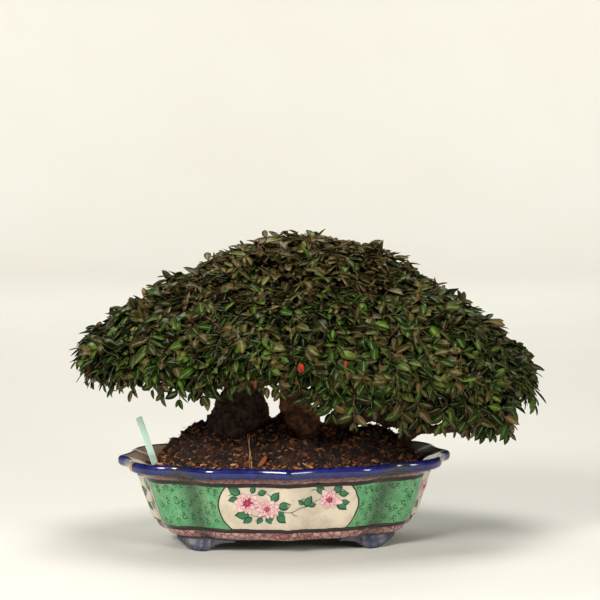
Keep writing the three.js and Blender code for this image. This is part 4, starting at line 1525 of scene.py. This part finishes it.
@dataclass
class OldWood:
    """Three short thick trunks that join under the soil, their surface roots and a limb to each bunch.

    A path's points are x, y, z and radius.
    """

    dome: Dome
    forks: tuple[tuple[float, ...], ...] = ((-48, 4, 214, 15), (18, 20, 232, 13), (96, -2, 168, 11))
    trunks: tuple[tuple[tuple[float, ...], ...], ...] = (
        ((-56, 0, 96, 36), (-54, -1, 136, 41), (-51, 0, 164, 31), (-46, 3, 190, 22), (-48, 4, 214, 15)),
        ((18, 2, 96, 25), (21, 1, 134, 25), (14, 6, 162, 19), (10, 14, 200, 15), (18, 20, 232, 13)),
        ((54, 0, 112, 14), (67, 0, 140, 14), (82, -1, 155, 13), (96, -2, 168, 11)),
        ((66, -2, 136, 12), (96, -4, 149, 11), (130, -4, 144, 9.5), (166, -5, 134, 7)),
        ((96, -2, 168, 10), (130, -3, 148, 9.5), (166, -5, 133, 7.5), (205, -4, 132, 6), (244, -1, 138, 3)),
        ((118, -8, 92, 10), (134, -7, 110, 9), (152, -6, 125, 7.5), (176, -5, 132, 6)),
    )
    roots: tuple[tuple[tuple[float, ...], ...], ...] = (
        ((-60, -10, 136, 18), (-86, -22, 130, 11), (-104, -28, 114, 6)),
        ((-52, -14, 133, 17), (-42, -40, 123, 9), (-36, -54, 110, 5)),
        ((22, -8, 130, 15), (34, -32, 116, 9), (42, -48, 102, 5)),
        ((-58, 14, 136, 17), (-70, 38, 126, 10), (-80, 52, 110, 6)),
        ((24, 12, 132, 15), (42, 36, 120, 9), (54, 50, 104, 5)),
        ((-66, 0, 108, 18), (20, 4, 104, 20), (124, -6, 102, 14)),
    )
    voxel: float = 2.0

    def limb_path(self, branch: LeafyBranch) -> list[tuple[float, float, float, float]]:
        """Gives the limb that carries a bunch: out of the nearest trunk, under the dome and up into it.

        Args:
            branch: The bunch.

        Returns:
            Its points, each x, y, z and radius.
        """
        top = self.dome.point(branch.rho, branch.angle).z
        under = self.dome.point(branch.rho, branch.angle, Side.UNDER).z
        x, y = self.dome.plan(branch.rho * 0.97, branch.angle)
        fork = min(self.forks, key=lambda f: math.hypot(f[0] - x, f[1] - y))
        bend_z = min(under - 10, fork[2] + (under - fork[2]) * 0.55)
        return [
            (fork[0], fork[1], fork[2], fork[3] * 0.62),
            (fork[0] + 0.6 * (x - fork[0]), fork[1] + 0.6 * (y - fork[1]), bend_z, 6.0),
            (x, y, under + 0.62 * (top - under), 3.2),
        ]

    def build(self, branches: Sequence[LeafyBranch]) -> Object:
        """Grows the trunks, roots and limbs as tubes, melts them into one skin and roughens it into bark.

        Args:
            branches: The bunches, with a limb to each.

        Returns:
            The finished piece.
        """
        bm = bmesh.new()
        rng = random.Random(SEED + 2)
        for path in (*self.trunks, *self.roots, *(self.limb_path(branch) for branch in branches)):
            curve = smooth_path(path, 8)
            for row in curve:
                row[3] *= 1 + 0.12 * noise.noise(Vector(row[:3]) / 16.0) + rng.uniform(-0.03, 0.03)
            tube(bm, curve, 16)
        bmesh.ops.recalc_face_normals(bm, faces=bm.faces)
        rough = bpy.data.objects.new("wood_in_the_rough", as_shape(bm, "wood_in_the_rough"))
        bpy.context.scene.collection.objects.link(rough)
        melt = rough.modifiers.new("melt", "REMESH")
        melt.mode = "VOXEL"
        melt.voxel_size = self.voxel
        soften = rough.modifiers.new("soften", "SMOOTH")
        soften.iterations = 3
        depsgraph = bpy.context.evaluated_depsgraph_get()
        melted = bpy.data.meshes.new_from_object(rough.evaluated_get(depsgraph))
        bpy.data.objects.remove(rough)
        bm = bmesh.new()
        bm.from_mesh(melted)
        bpy.data.meshes.remove(melted)
        bm.normal_update()
        for vert in bm.verts:
            spot = vert.co.copy()
            drawn = Vector((spot.x, spot.y, spot.z * 0.6))
            ridge = 1 - abs(noise.noise(drawn / 5.0)) * 2
            lump = noise.noise(spot / 13.0)
            vert.co += vert.normal * (2.8 * lump + 2.0 * ridge - 1.2 + 1.5 * noise.noise(spot / 3.6))
        return finish_piece(bm, "bark_wood", (BARK,), ("trunk",))


# ---- leaves


@dataclass
class LeafShape:
    """One small leaf along +X with its upper face to +Z: a thin closed blade, widest before its middle."""

    length: float
    width: float
    fold: float
    arch: float
    thickness: float = 0.45
    steps: int = 5

    def add_to(self, bm: BMesh, place: Matrix, number: int) -> None:
        """Adds the leaf to a mesh and marks its vertices with its number.

        Args:
            bm: The mesh.
            place: Where the leaf goes.
            number: Its number.
        """
        mark = bm.verts.layers.int.get("number") or bm.verts.layers.int.new("number")
        bm.loops.layers.uv.get("blade") or bm.loops.layers.uv.new("blade")
        grid = bmesh.ops.create_grid(bm, x_segments=self.steps, y_segments=2, size=0.5, calc_uvs=True)
        upper = grid["verts"]
        faces = list({face for vert in upper for face in vert.link_faces})
        edges = list({edge for vert in upper for edge in vert.link_edges})
        lower = bmesh.ops.duplicate(bm, geom=[*upper, *edges, *faces])["geom"]
        backs = [item for item in lower if isinstance(item, BMFace)]
        bmesh.ops.reverse_faces(bm, faces=backs)
        for face in backs:
            face.material_index = 1
        under = {item for item in lower if isinstance(item, BMVert)}
        for vert in (*upper, *under):
            t, aside = vert.co.x + 0.5, vert.co.y * 2
            half = 0.5 * self.width * max(0.0, math.sin(math.pi * t**0.9)) ** 0.72
            rise = self.fold * abs(aside) * half - self.arch * self.length * t * t
            if vert in under and abs(aside) < 0.5 and 0.05 < t < 0.95:
                rise -= self.thickness
            vert.co = (t * self.length, aside * half, rise)
            vert[mark] = number
        leaf = [*upper, *under]
        bmesh.ops.remove_doubles(bm, verts=leaf, dist=0.02)
        bmesh.ops.transform(bm, matrix=place, verts=[vert for vert in leaf if vert.is_valid])


@dataclass
class ShootShape:
    """The leafy end of a shoot along +X, looking to +Z: a thin stem that bears pairs of opposite leaves."""

    rng: random.Random
    pairs: int = 3
    spacing: float = 8.5
    droop: float = 0.0
    twist: float = 0.9

    def build(self, name: str) -> Mesh:
        """Grows the stem, then a pair at each node and a small pair at the tip.

        Args:
            name: The shape's name.

        Returns:
            The shape.
        """
        bm = bmesh.new()
        rng = self.rng
        reach = self.spacing * self.pairs / 2
        lean = rng.uniform(-3, 3)
        stem = smooth_path(
            [
                (-reach - 22, lean, -17, 0.95),
                (-reach - 8, 0, -6, 0.85),
                (0, 0, 0, 0.65),
                (reach, lean, -self.droop * reach, 0.4),
            ],
            3,
        )
        bm.verts.layers.int.new("number")
        tube(bm, stem, 4)
        for face in bm.faces:
            face.material_index = 2
        number = 0
        for node in range(self.pairs + 1):
            last = node == self.pairs
            x = -reach + node * self.spacing + rng.uniform(-1, 1)
            share = max(0.0, x) / reach
            place = Vector((x, lean * share, -self.droop * reach * share * share))
            roll = rng.uniform(-0.35, 0.35) + (self.twist if node % 2 else 0.0) * rng.choice((-1, 1))
            for side in (1, -1):
                open_angle = rng.uniform(0.6, 1.35) if not last else rng.uniform(0.35, 0.7)
                out = Vector((0, side * math.cos(roll), side * math.sin(roll) + rng.uniform(-0.15, 0.25)))
                axis = Vector((math.cos(open_angle), 0, 0)) + out * math.sin(open_angle)
                face = Vector((rng.uniform(-0.6, 0.3), rng.uniform(-0.5, 0.5), 1))
                length = rng.uniform(17, 25) * (0.62 if last else 1)
                width = length * rng.uniform(0.4, 0.5)
                leaf = LeafShape(length, width, rng.uniform(0.12, 0.4), rng.uniform(0.02, 0.25))
                leaf.add_to(bm, seat(place, axis, face), number)
                number += 1
        return as_shape(bm, name)


@dataclass
class LeafCover:
    """All the leaves of the dome, piece by piece, with the twigs that carry them."""

    dome: Dome
    wood: OldWood
    branches: list[LeafyBranch]
    shoots_on_top: int = 1040
    shoots_at_edge: int = 170
    shoots_below_edge: int = 140
    shoots_underneath: int = 90
    inner_leaves: int = 1900
    band_leaves: int = 1500
    limb_leaves: int = 300
    twigs_per_branch: int = 26
    # A shoot or a leaf draws this many sets of numbers, more than any of them has leaves.
    sets_of_numbers: int = 14
    finishes: tuple[Finish, ...] = (LEAF, LEAF_BACK, SHOOT, SHADED_INNER_LEAF)
    rng: random.Random = field(default_factory=lambda: random.Random(SEED + 3))
    meshes: dict[str, BMesh] = field(default_factory=dict)
    shoots: list[Mesh] = field(default_factory=list)
    flat_shoots: list[Mesh] = field(default_factory=list)
    singles: list[Mesh] = field(default_factory=list)
    plain_leaves: list[Mesh] = field(default_factory=list)

    def prepare(self) -> None:
        """Grows the shapes that are set down many times, and opens a mesh for each bunch."""
        for i in range(16):
            pairs = self.rng.choice((2, 3, 3, 4))
            droop = self.rng.uniform(-0.1, 0.3)
            self.shoots.append(ShootShape(self.rng, pairs, droop=droop).build(f"shoot_{i}"))
            flat = ShootShape(self.rng, pairs, droop=droop, twist=0.35)
            self.flat_shoots.append(flat.build(f"flat_shoot_{i}"))
        for i in range(6):
            bm = bmesh.new()
            length = self.rng.uniform(17, 23)
            leaf = LeafShape(length, length * 0.42, self.rng.uniform(0.1, 0.4), self.rng.uniform(0, 0.25))
            leaf.add_to(bm, Matrix.Identity(4), 0)
            self.singles.append(as_shape(bm, f"leaf_{i}"))
            bm = bmesh.new()
            leaf.steps = 3
            leaf.add_to(bm, Matrix.Identity(4), 0)
            for face in bm.faces:
                face.material_index = 3
            self.plain_leaves.append(as_shape(bm, f"plain_leaf_{i}"))
        for branch in self.branches:
            bm = bmesh.new()
            bm.verts.layers.int.new("number")
            bm.verts.layers.float_color.new("leaf")
            bm.loops.layers.uv.new("blade")
            self.meshes[branch.name] = bm

    def set_down(self, place: Matrix, shape: Mesh, bronze_and_sheen: float, painted_shade: float, red: float = 0.0) -> None:
        """Sets a shape into the bunch that its place belongs to and gives each leaf its own numbers.

        Args:
            place: Its matrix.
            shape: The shape to copy.
            bronze_and_sheen: How bronzed in sunlight the leaves here are, lightened as a painted sheen on the
                dome's top, from 0 to 1.
            painted_shade: How far painted shade darkens the leaves here, from 0 to 1.
            red: How far the leaf has turned red, from 0 to 1.
        """
        rng = self.rng
        spot = place.translation
        bm = self.meshes[branch_at(spot.x, spot.y, self.dome, self.branches).name]
        part = copy_of(shape, place)
        tint = part.verts.layers.float_color.new("leaf")
        mark = part.verts.layers.int["number"]
        fresh_shoot = rng.random() < 0.05
        numbers = []
        for _ in range(self.sets_of_numbers):
            shade = clamp(rng.gauss(0.35, 0.42) * (1 - painted_shade))
            fresh = rng.uniform(0.2, 0.75) if rng.random() < (0.5 if fresh_shoot else 0.07) else 0.0
            bronze_and_sheen_share = clamp(rng.gauss(bronze_and_sheen, 0.26))
            numbers.append((shade, fresh, 0.0 if red else bronze_and_sheen_share, red))
        for vert in part.verts:
            vert[tint] = numbers[vert[mark]]
        merge(bm, part)

    def shoot(
        self, rho: float, angle: float, side: Side, lift: float, hang: float, swing: float, sunk: float = 0.0
    ) -> None:
        """Sets one leafy shoot on the dome.

        Args:
            rho: Its place from the dome's middle to its edge.
            angle: Its place round the dome.
            side: Which surface it stands on.
            lift: How steeply it rises off the surface, in radians.
            hang: How far it hangs down instead, from 0 to 1.
            swing: How far it turns from straight down the slope, in radians.
            sunk: How far below the surface it starts.
        """
        rng = self.rng
        point, normal, down = self.dome.frame(rho, angle, side)
        flat = down.copy()
        flat.rotate(Matrix.Rotation(swing, 3, normal))
        axis = flat * math.cos(lift) + normal * math.sin(lift)
        level = max(0.0, 1 - rho * rho) if side is Side.TOP else 0.0
        axis.z *= 1 - 0.6 * level
        axis = axis.lerp(Vector((0, 0, -1)), hang)
        outwards = Vector((normal.x, normal.y, 0))
        outwards = outwards.normalized() if outwards.length > 0.05 else normal
        if side is Side.UNDER:
            x, y = self.dome.plan(rho, angle)
            outwards = Vector((x - self.dome.middle_x, y * 1.5, 0)).normalized()
            face = outwards + Vector((0, 0, 0.2))
        else:
            face = normal + Vector((0, 0, 1.1 * level)) + outwards * 0.8 * hang
        face += Vector((rng.uniform(-0.3, 0.3), rng.uniform(-0.3, 0.3), rng.uniform(-0.2, 0.2)))
        height = (point.z - self.dome.edge) / (self.dome.top - self.dome.edge)
        # Leaves higher on the dome are more bronzed, and the bronzing is lightened as a painted sheen on the
        # top.
        bronze_and_sheen = 0.04 + 0.42 * max(0.0, height) ** 2.2
        size = rng.uniform(0.76, 1.02) * (1 + 0.15 * max(0.0, rho - 0.6) / 0.4)
        place = seat(point - normal * sunk, axis, face, size)
        shapes = self.flat_shoots if rng.random() < 1.2 * level else self.shoots
        # Painted shade: shoots under the dome are tinted darker than those on top.
        self.set_down(place, rng.choice(shapes), bronze_and_sheen, 0.12 if side is Side.TOP else 0.4)

    def cover(self) -> None:
        """Spreads the shoots: over the top, round the edge, hanging below it, and a few underneath."""
        rng = self.rng
        for i in range(self.shoots_on_top):
            rho = self.dome.even_rho((i + 0.5) / self.shoots_on_top)
            swing = rng.uniform(-math.pi, math.pi) if rho < 0.3 else rng.gauss(0, 1.0)
            lift = 0.9 if rng.random() < 0.07 else rng.uniform(0.0, 0.5)
            hang = 0.35 * max(0.0, rho - 0.55) / 0.45
            angle = i * GOLDEN_ANGLE + rng.uniform(-0.03, 0.03)
            clump = 5 * noise.noise(self.dome.point(rho, angle) / 24)
            self.shoot(rho, angle, Side.TOP, lift, hang, swing, rng.uniform(-3, 9) + clump)
        for i in range(self.shoots_at_edge):
            angle = (i + rng.uniform(-0.3, 0.3)) / self.shoots_at_edge * 2 * math.pi
            rho = rng.uniform(0.93, 0.985)
            self.shoot(rho, angle, Side.TOP, 0.1, rng.uniform(0.3, 0.6), rng.gauss(0, 0.5), 3)
        for i in range(self.shoots_below_edge):
            angle = (i + rng.uniform(-0.3, 0.3)) / self.shoots_below_edge * 2 * math.pi
            rho = rng.uniform(0.9, 0.98)
            self.shoot(rho, angle, Side.UNDER, 0.1, rng.uniform(0.55, 0.8), rng.gauss(0, 0.5))
        for i in range(self.shoots_underneath):
            rho = 0.3 + 0.58 * math.sqrt((i + 0.5) / self.shoots_underneath)
            self.shoot(rho, i * GOLDEN_ANGLE, Side.UNDER, 0.35, 0.25, rng.uniform(-3.1, 3.1), -4)

    def fill_inside(self) -> None:
        """Sets the darker leaves that stand behind the outer ones, on their side of the twigs, tinted with
        painted shade.
        """
        rng = self.rng
        for i in range(self.inner_leaves):
            rho = self.dome.even_rho((i + 0.5) / self.inner_leaves, 0.95)
            point, normal, _ = self.dome.frame(rho, i * GOLDEN_ANGLE * 1.01)
            spot = point - Vector((0, 0, rng.uniform(7, 22))) - normal * 4
            way = Vector((rng.uniform(-1, 1), rng.uniform(-1, 1), rng.uniform(-0.6, 0.6)))
            face = normal + Vector((rng.uniform(-0.6, 0.6), rng.uniform(-0.6, 0.6), 0))
            place = seat(spot, way, face, rng.uniform(1.3, 1.7))
            # Painted shade: the inner leaves are tinted nearly black.
            self.set_down(place, rng.choice(self.plain_leaves), 0.1, 0.9)
        for i in range(self.band_leaves):
            rho, angle = rng.uniform(0.74, 0.95), i * GOLDEN_ANGLE
            upper = self.dome.point(rho, angle)
            lower = self.dome.point(rho, angle, Side.UNDER)
            spot = upper.lerp(lower, rng.uniform(0.3, 1.05))
            way = Vector((rng.uniform(-0.7, 0.7), rng.uniform(-0.7, 0.7), -1))
            face = Vector((math.cos(angle), math.sin(angle), rng.uniform(-0.4, 0.6)))
            place = seat(spot, way, face, rng.uniform(0.8, 1.1))
            # Painted shade: the leaves of the band round the edge are tinted nearly as dark.
            self.set_down(place, rng.choice(self.plain_leaves), 0.1, 0.85)

    def grow_twigs(self) -> None:
        """Runs twigs from the end of each limb out to the shell, where the shoots leave them."""
        rng = self.rng
        for branch in self.branches:
            bm = self.meshes[branch.name]
            tip = Vector(self.wood.limb_path(branch)[-1][:3])
            for _ in range(self.twigs_per_branch):
                rho = min(0.95, max(0.03, branch.rho + rng.uniform(-0.24, 0.24)))
                wide = 0.36 if branch.rho > 0.7 else 0.6
                angle = branch.angle + rng.uniform(-wide, wide) if branch.rho else rng.uniform(0, 6.283)
                point, normal, _ = self.dome.frame(rho, angle)
                if branch_at(point.x, point.y, self.dome, self.branches) is not branch:
                    continue
                end = point - normal * 6
                middle = tip.lerp(end, 0.5) + Vector((0, 0, rng.uniform(-8, 2)))
                twig = bmesh.new()
                tube(twig, smooth_path([(*tip, 1.9), (*middle, 1.4), (*end, 0.8)], 4), 5)
                merge(bm, twig, 2)

    def clothe_low_limb(self) -> None:
        """Hangs leaves about the low right-hand limb, where it runs out under the dome's edge."""
        rng = self.rng
        for _ in range(self.limb_leaves):
            x = rng.uniform(138, 272)
            low = 136 if x > 205 else 150
            spot = Vector((x, rng.uniform(-30, 34), rng.uniform(low, 176)))
            way = Vector((rng.uniform(-0.6, 0.8), rng.uniform(-0.8, 0.3), -1))
            face = Vector((rng.uniform(-0.5, 0.5), -1, rng.uniform(-0.3, 0.6)))
            place = seat(spot, way, face, rng.uniform(0.85, 1.1))
            # Painted shade: the leaves under the dome's edge are tinted darker.
            self.set_down(place, rng.choice(self.singles), 0.15, 0.45)

    def hang_bare_twigs(self) -> None:
        """Loops a few leafless twigs out of the fringe at the lower left."""
        rng = self.rng
        for i in range(6):
            x, y = -240 + 6 * i, rng.uniform(-60, -30)
            sag, top = rng.uniform(12, 22), 222 - 1.5 * i
            path = (
                (x, y + 8, top, 0.9),
                (x + 5, y, top - 0.8 * sag, 0.75),
                (x + 14, y - 4, top - 4 - sag, 0.7),
                (x + 24, y, top - 4 - 0.3 * sag, 0.6),
            )
            twig = bmesh.new()
            tube(twig, smooth_path(path, 5), 5)
            merge(self.meshes[branch_at(x, y, self.dome, self.branches).name], twig, 2)

    def add_turned_leaves(self) -> None:
        """Sets the few old leaves that have turned red or brown, in the front of the skirt and higher up."""
        turned = (
            (Vector((12, -190, 238)), 0.6, 1.0),
            (Vector((14, -191, 237)), 0.5, 1.0),
            (Vector((64, -188, 240)), 0.4, 1.0),
            (Vector((150, -152, 312)), 0.45, 0.3),
            (Vector((-38, -180, 218)), 0.5, 0.35),
        )
        for spot, size, red in turned:
            matrix = seat(spot, Vector((self.rng.uniform(-0.15, 0.15), -0.1, -1)), Vector((0, -1, 0.2)), size)
            self.set_down(matrix, self.singles[0], 0.0, 0.2, red)

    def build(self) -> list[Object]:
        """Covers the dome and finishes each bunch as its own piece."""
        self.prepare()
        self.cover()
        self.fill_inside()
        self.clothe_low_limb()
        self.grow_twigs()
        self.hang_bare_twigs()
        self.add_turned_leaves()
        pieces = []
        for branch in self.branches:
            bm, nodes = self.meshes[branch.name], (f"leafy_branch_{branch.name}",)
            pieces.append(finish_piece(bm, f"foliage_{branch.name}", self.finishes, nodes))
        return pieces


# ---- label and drainage mesh


@dataclass
class PlantLabel:
    """A flat plastic stake with a pointed foot and rounded corners, bare of writing."""

    width: float = 9.0
    length: float = 89.0
    thickness: float = 1.0
    shoulder: float = 14.0
    tip: tuple[float, float, float] = (-149.0, -32.0, 70.0)
    lean: float = math.radians(18)
    turn: float = math.radians(34)

    def build(self) -> Object:
        """Extrudes the stake's outline, rounds its top corners and its edges, bows it and stands it up."""
        bm = bmesh.new()
        half = self.width / 2
        corners = ((-1.2, 0), (1.2, 0), (half, self.shoulder), (half, self.length), (-half, self.length))
        verts = [bm.verts.new((x, y, -self.thickness / 2)) for x, y in (*corners, (-half, self.shoulder))]
        face = bm.faces.new(verts)
        grown = bmesh.ops.extrude_face_region(bm, geom=[face])["geom"]
        fresh = [item for item in grown if isinstance(item, BMVert)]
        bmesh.ops.translate(bm, verts=fresh, vec=(0, 0, self.thickness))
        bmesh.ops.recalc_face_normals(bm, faces=bm.faces)
        upright = [edge for edge in bm.edges if abs(edge.verts[0].co.z - edge.verts[1].co.z) > 0.5]
        top = [edge for edge in upright if all(vert.co.y > self.length - 0.1 for vert in edge.verts)]
        bmesh.ops.bevel(bm, geom=top, offset=1.1, segments=4, profile=0.5, affect="EDGES", material=-1)
        rims = [edge for edge in bm.edges if edge.calc_face_angle(0.0) > 0.9]
        bmesh.ops.bevel(bm, geom=rims, offset=0.18, segments=2, profile=0.5, affect="EDGES", material=-1)
        for y in range(8, int(self.length), 8):
            cut = [*bm.verts, *bm.edges, *bm.faces]
            bmesh.ops.bisect_plane(bm, geom=cut, dist=0.001, plane_co=(0, y, 0), plane_no=(0, 1, 0))
        for vert in bm.verts:
            vert.co.z += 0.9 * math.sin(math.pi * vert.co.y / self.length)
        stand = (
            Matrix.Translation(self.tip)
            @ Matrix.Rotation(-self.lean, 4, "Y")
            @ Matrix.Rotation(self.turn, 4, "Z")
            @ Matrix.Rotation(math.pi / 2, 4, "X")
        )
        bmesh.ops.transform(bm, matrix=stand, verts=bm.verts)
        nodes = ("plant_label",)
        return finish_piece(bm, "label_stake", (LABEL_PLASTIC,), nodes, smooth=False)


@dataclass
class DrainScreen:
    """A square of moulded plastic mesh over one drainage hole."""

    word: str
    x: float
    size: float = 34.0
    thickness: float = 1.6
    bottom: float = 18.85
    cells: int = 9
    strand: float = 0.6

    def build(self) -> Object:
        """Insets each square of a grid, opens it and gives the strands their thickness."""
        bm = bmesh.new()
        place = Matrix.Translation((self.x, 0, self.bottom + self.thickness))
        cells, half = self.cells, self.size / 2
        bmesh.ops.create_grid(bm, x_segments=cells, y_segments=cells, size=half, matrix=place)
        squares = list(bm.faces)
        bmesh.ops.inset_individual(bm, faces=squares, thickness=self.strand, depth=0.0)
        bmesh.ops.delete(bm, geom=squares, context="FACES_ONLY")
        bmesh.ops.solidify(bm, geom=bm.faces, thickness=self.thickness)
        bmesh.ops.recalc_face_normals(bm, faces=bm.faces)
        name, nodes = f"drain_mesh_{self.word}", (f"drain_screen_{self.word}",)
        return finish_piece(bm, name, (SCREEN_PLASTIC,), nodes, smooth=False)


# ---- studio


@dataclass
class Studio:
    """A seamless round pale floor, soft lights, and the camera at the photograph's height and angle."""

    distance: float = 2767.0
    height: float = 565.1
    azimuth: float = math.radians(1.963)
    yaw: float = math.radians(0.426)
    pitch: float = math.radians(5.66)
    roll: float = -0.00856
    lens: float = 137.35
    floor_radius: float = 3.8
    floor_bend: float = 1.2

    def add_backdrop(self) -> Object:
        """Lays a round sheet of paper that curves up all round, the same from every side."""
        bm = bmesh.new()
        turns = np.linspace(0, 2 * math.pi, 96, endpoint=False)
        rings = []
        for climb in np.linspace(0, math.pi / 2, 20):
            radius = self.floor_radius + self.floor_bend * math.sin(climb)
            level = np.full(len(turns), self.floor_bend * (1 - math.cos(climb)))
            rings.append(np.column_stack([radius * np.cos(turns), radius * np.sin(turns), level]))
        loft(bm, rings, capped=False)
        flat = [edge for edge in bm.edges if all(vert.co.z < 1e-6 for vert in edge.verts)]
        floor = bmesh.ops.edgeloop_fill(bm, edges=flat)["faces"][0]
        bmesh.ops.recalc_face_normals(bm, faces=bm.faces)
        if floor.normal.z < 0:
            bmesh.ops.reverse_faces(bm, faces=bm.faces)
        for face in bm.faces:
            face.smooth = face is not floor
        mesh = as_shape(bm, "backdrop")
        mesh.materials.append(PAPER.material())
        backdrop = bpy.data.objects.new("backdrop", mesh)
        bpy.context.scene.collection.objects.link(backdrop)
        return backdrop

    def add_light(
        self, name: str, place: Sequence[float], aim: Sequence[float], size: float, watts: float
    ) -> None:
        """Adds one soft white light.

        Args:
            name: Its name.
            place: Where it hangs, in metres.
            aim: What it looks at.
            size: The length of its sides.
            watts: Its strength.
        """
        light = bpy.data.lights.new(name, "AREA")
        light.shape = "SQUARE"
        light.size = size
        light.energy = watts
        lamp = bpy.data.objects.new(name, light)
        lamp.location = place
        lamp.rotation_euler = (Vector(aim) - Vector(place)).to_track_quat("-Z", "Y").to_euler()
        bpy.context.scene.collection.objects.link(lamp)

    def add_camera(self) -> Object:
        """Stands the camera where the photograph was taken from and aims it."""
        data = bpy.data.cameras.new("camera")
        data.sensor_fit = "HORIZONTAL"
        data.sensor_width = 36.0
        data.lens = self.lens
        data.clip_end = 50.0
        camera = bpy.data.objects.new("camera", data)
        sin, cos = math.sin(self.azimuth), math.cos(self.azimuth)
        place = TO_PART @ Vector((-self.distance * sin, -self.distance * cos, self.height))
        aim = Matrix.Rotation(-self.azimuth - self.yaw, 4, "Z")
        tilt = Matrix.Rotation(math.pi / 2 - self.pitch, 4, "X")
        camera.matrix_world = Matrix.Translation(place) @ (aim @ tilt) @ Matrix.Rotation(self.roll, 4, "Z")
        bpy.context.scene.collection.objects.link(camera)
        bpy.context.scene.camera = camera
        return camera

    def build(self) -> None:
        """Sets up the paper, the lights, the air's own light and the camera."""
        scene = bpy.context.scene
        scene.view_settings.view_transform = "Standard"
        world = bpy.data.worlds.new("pale_room")
        world.use_nodes = True
        background = world.node_tree.nodes["Background"]
        background.inputs[0].default_value = linear("#fffdf8")
        background.inputs[1].default_value = 0.07
        scene.world = world
        self.add_backdrop()
        plant = (0.0, 0.0, 0.2)
        self.add_light("key_softbox", (-1.5, -1.9, 1.7), plant, 0.85, 72.0)
        self.add_light("fill_softbox", (1.7, -1.9, 1.0), plant, 0.8, 32.0)
        self.add_light("top_softbox", (0.1, -0.2, 2.2), plant, 1.0, 28.0)
        self.add_light("left_far_light", (-1.3, 2.9, 2.1), (-0.7, 4.9, 0.3), 1.0, 35.0)
        self.add_light("right_far_light", (1.3, 2.9, 2.1), (0.7, 4.9, 0.3), 1.0, 34.0)
        self.add_light("left_floor_light", (-1.1, 1.5, 2.1), (-1.1, 1.7, 0.0), 1.0, 20.0)
        self.add_light("right_floor_light", (1.1, 1.5, 2.1), (1.1, 1.7, 0.0), 1.0, 18.0)
        self.add_camera()


def main() -> None:
    """Builds the studio and every piece of the bonsai; each piece logs its faces."""
    logging.basicConfig(level=logging.INFO, format="%(name)s: %(message)s")
    Studio().build()
    outline = LobedOutline()
    pot = BonsaiPot(outline)
    dome = Dome()
    wood = OldWood(dome)
    branches = dome.branches()
    pot.build()
    PotPainting(pot).build()
    SoilMound(outline).build()
    wood.build(branches)
    LeafCover(dome, wood, branches).build()
    PlantLabel().build()
    for word, x in (("right", pot.drain_x), ("left", -pot.drain_x)):
        DrainScreen(word, x).build()


if __name__ == "__main__":
    main()
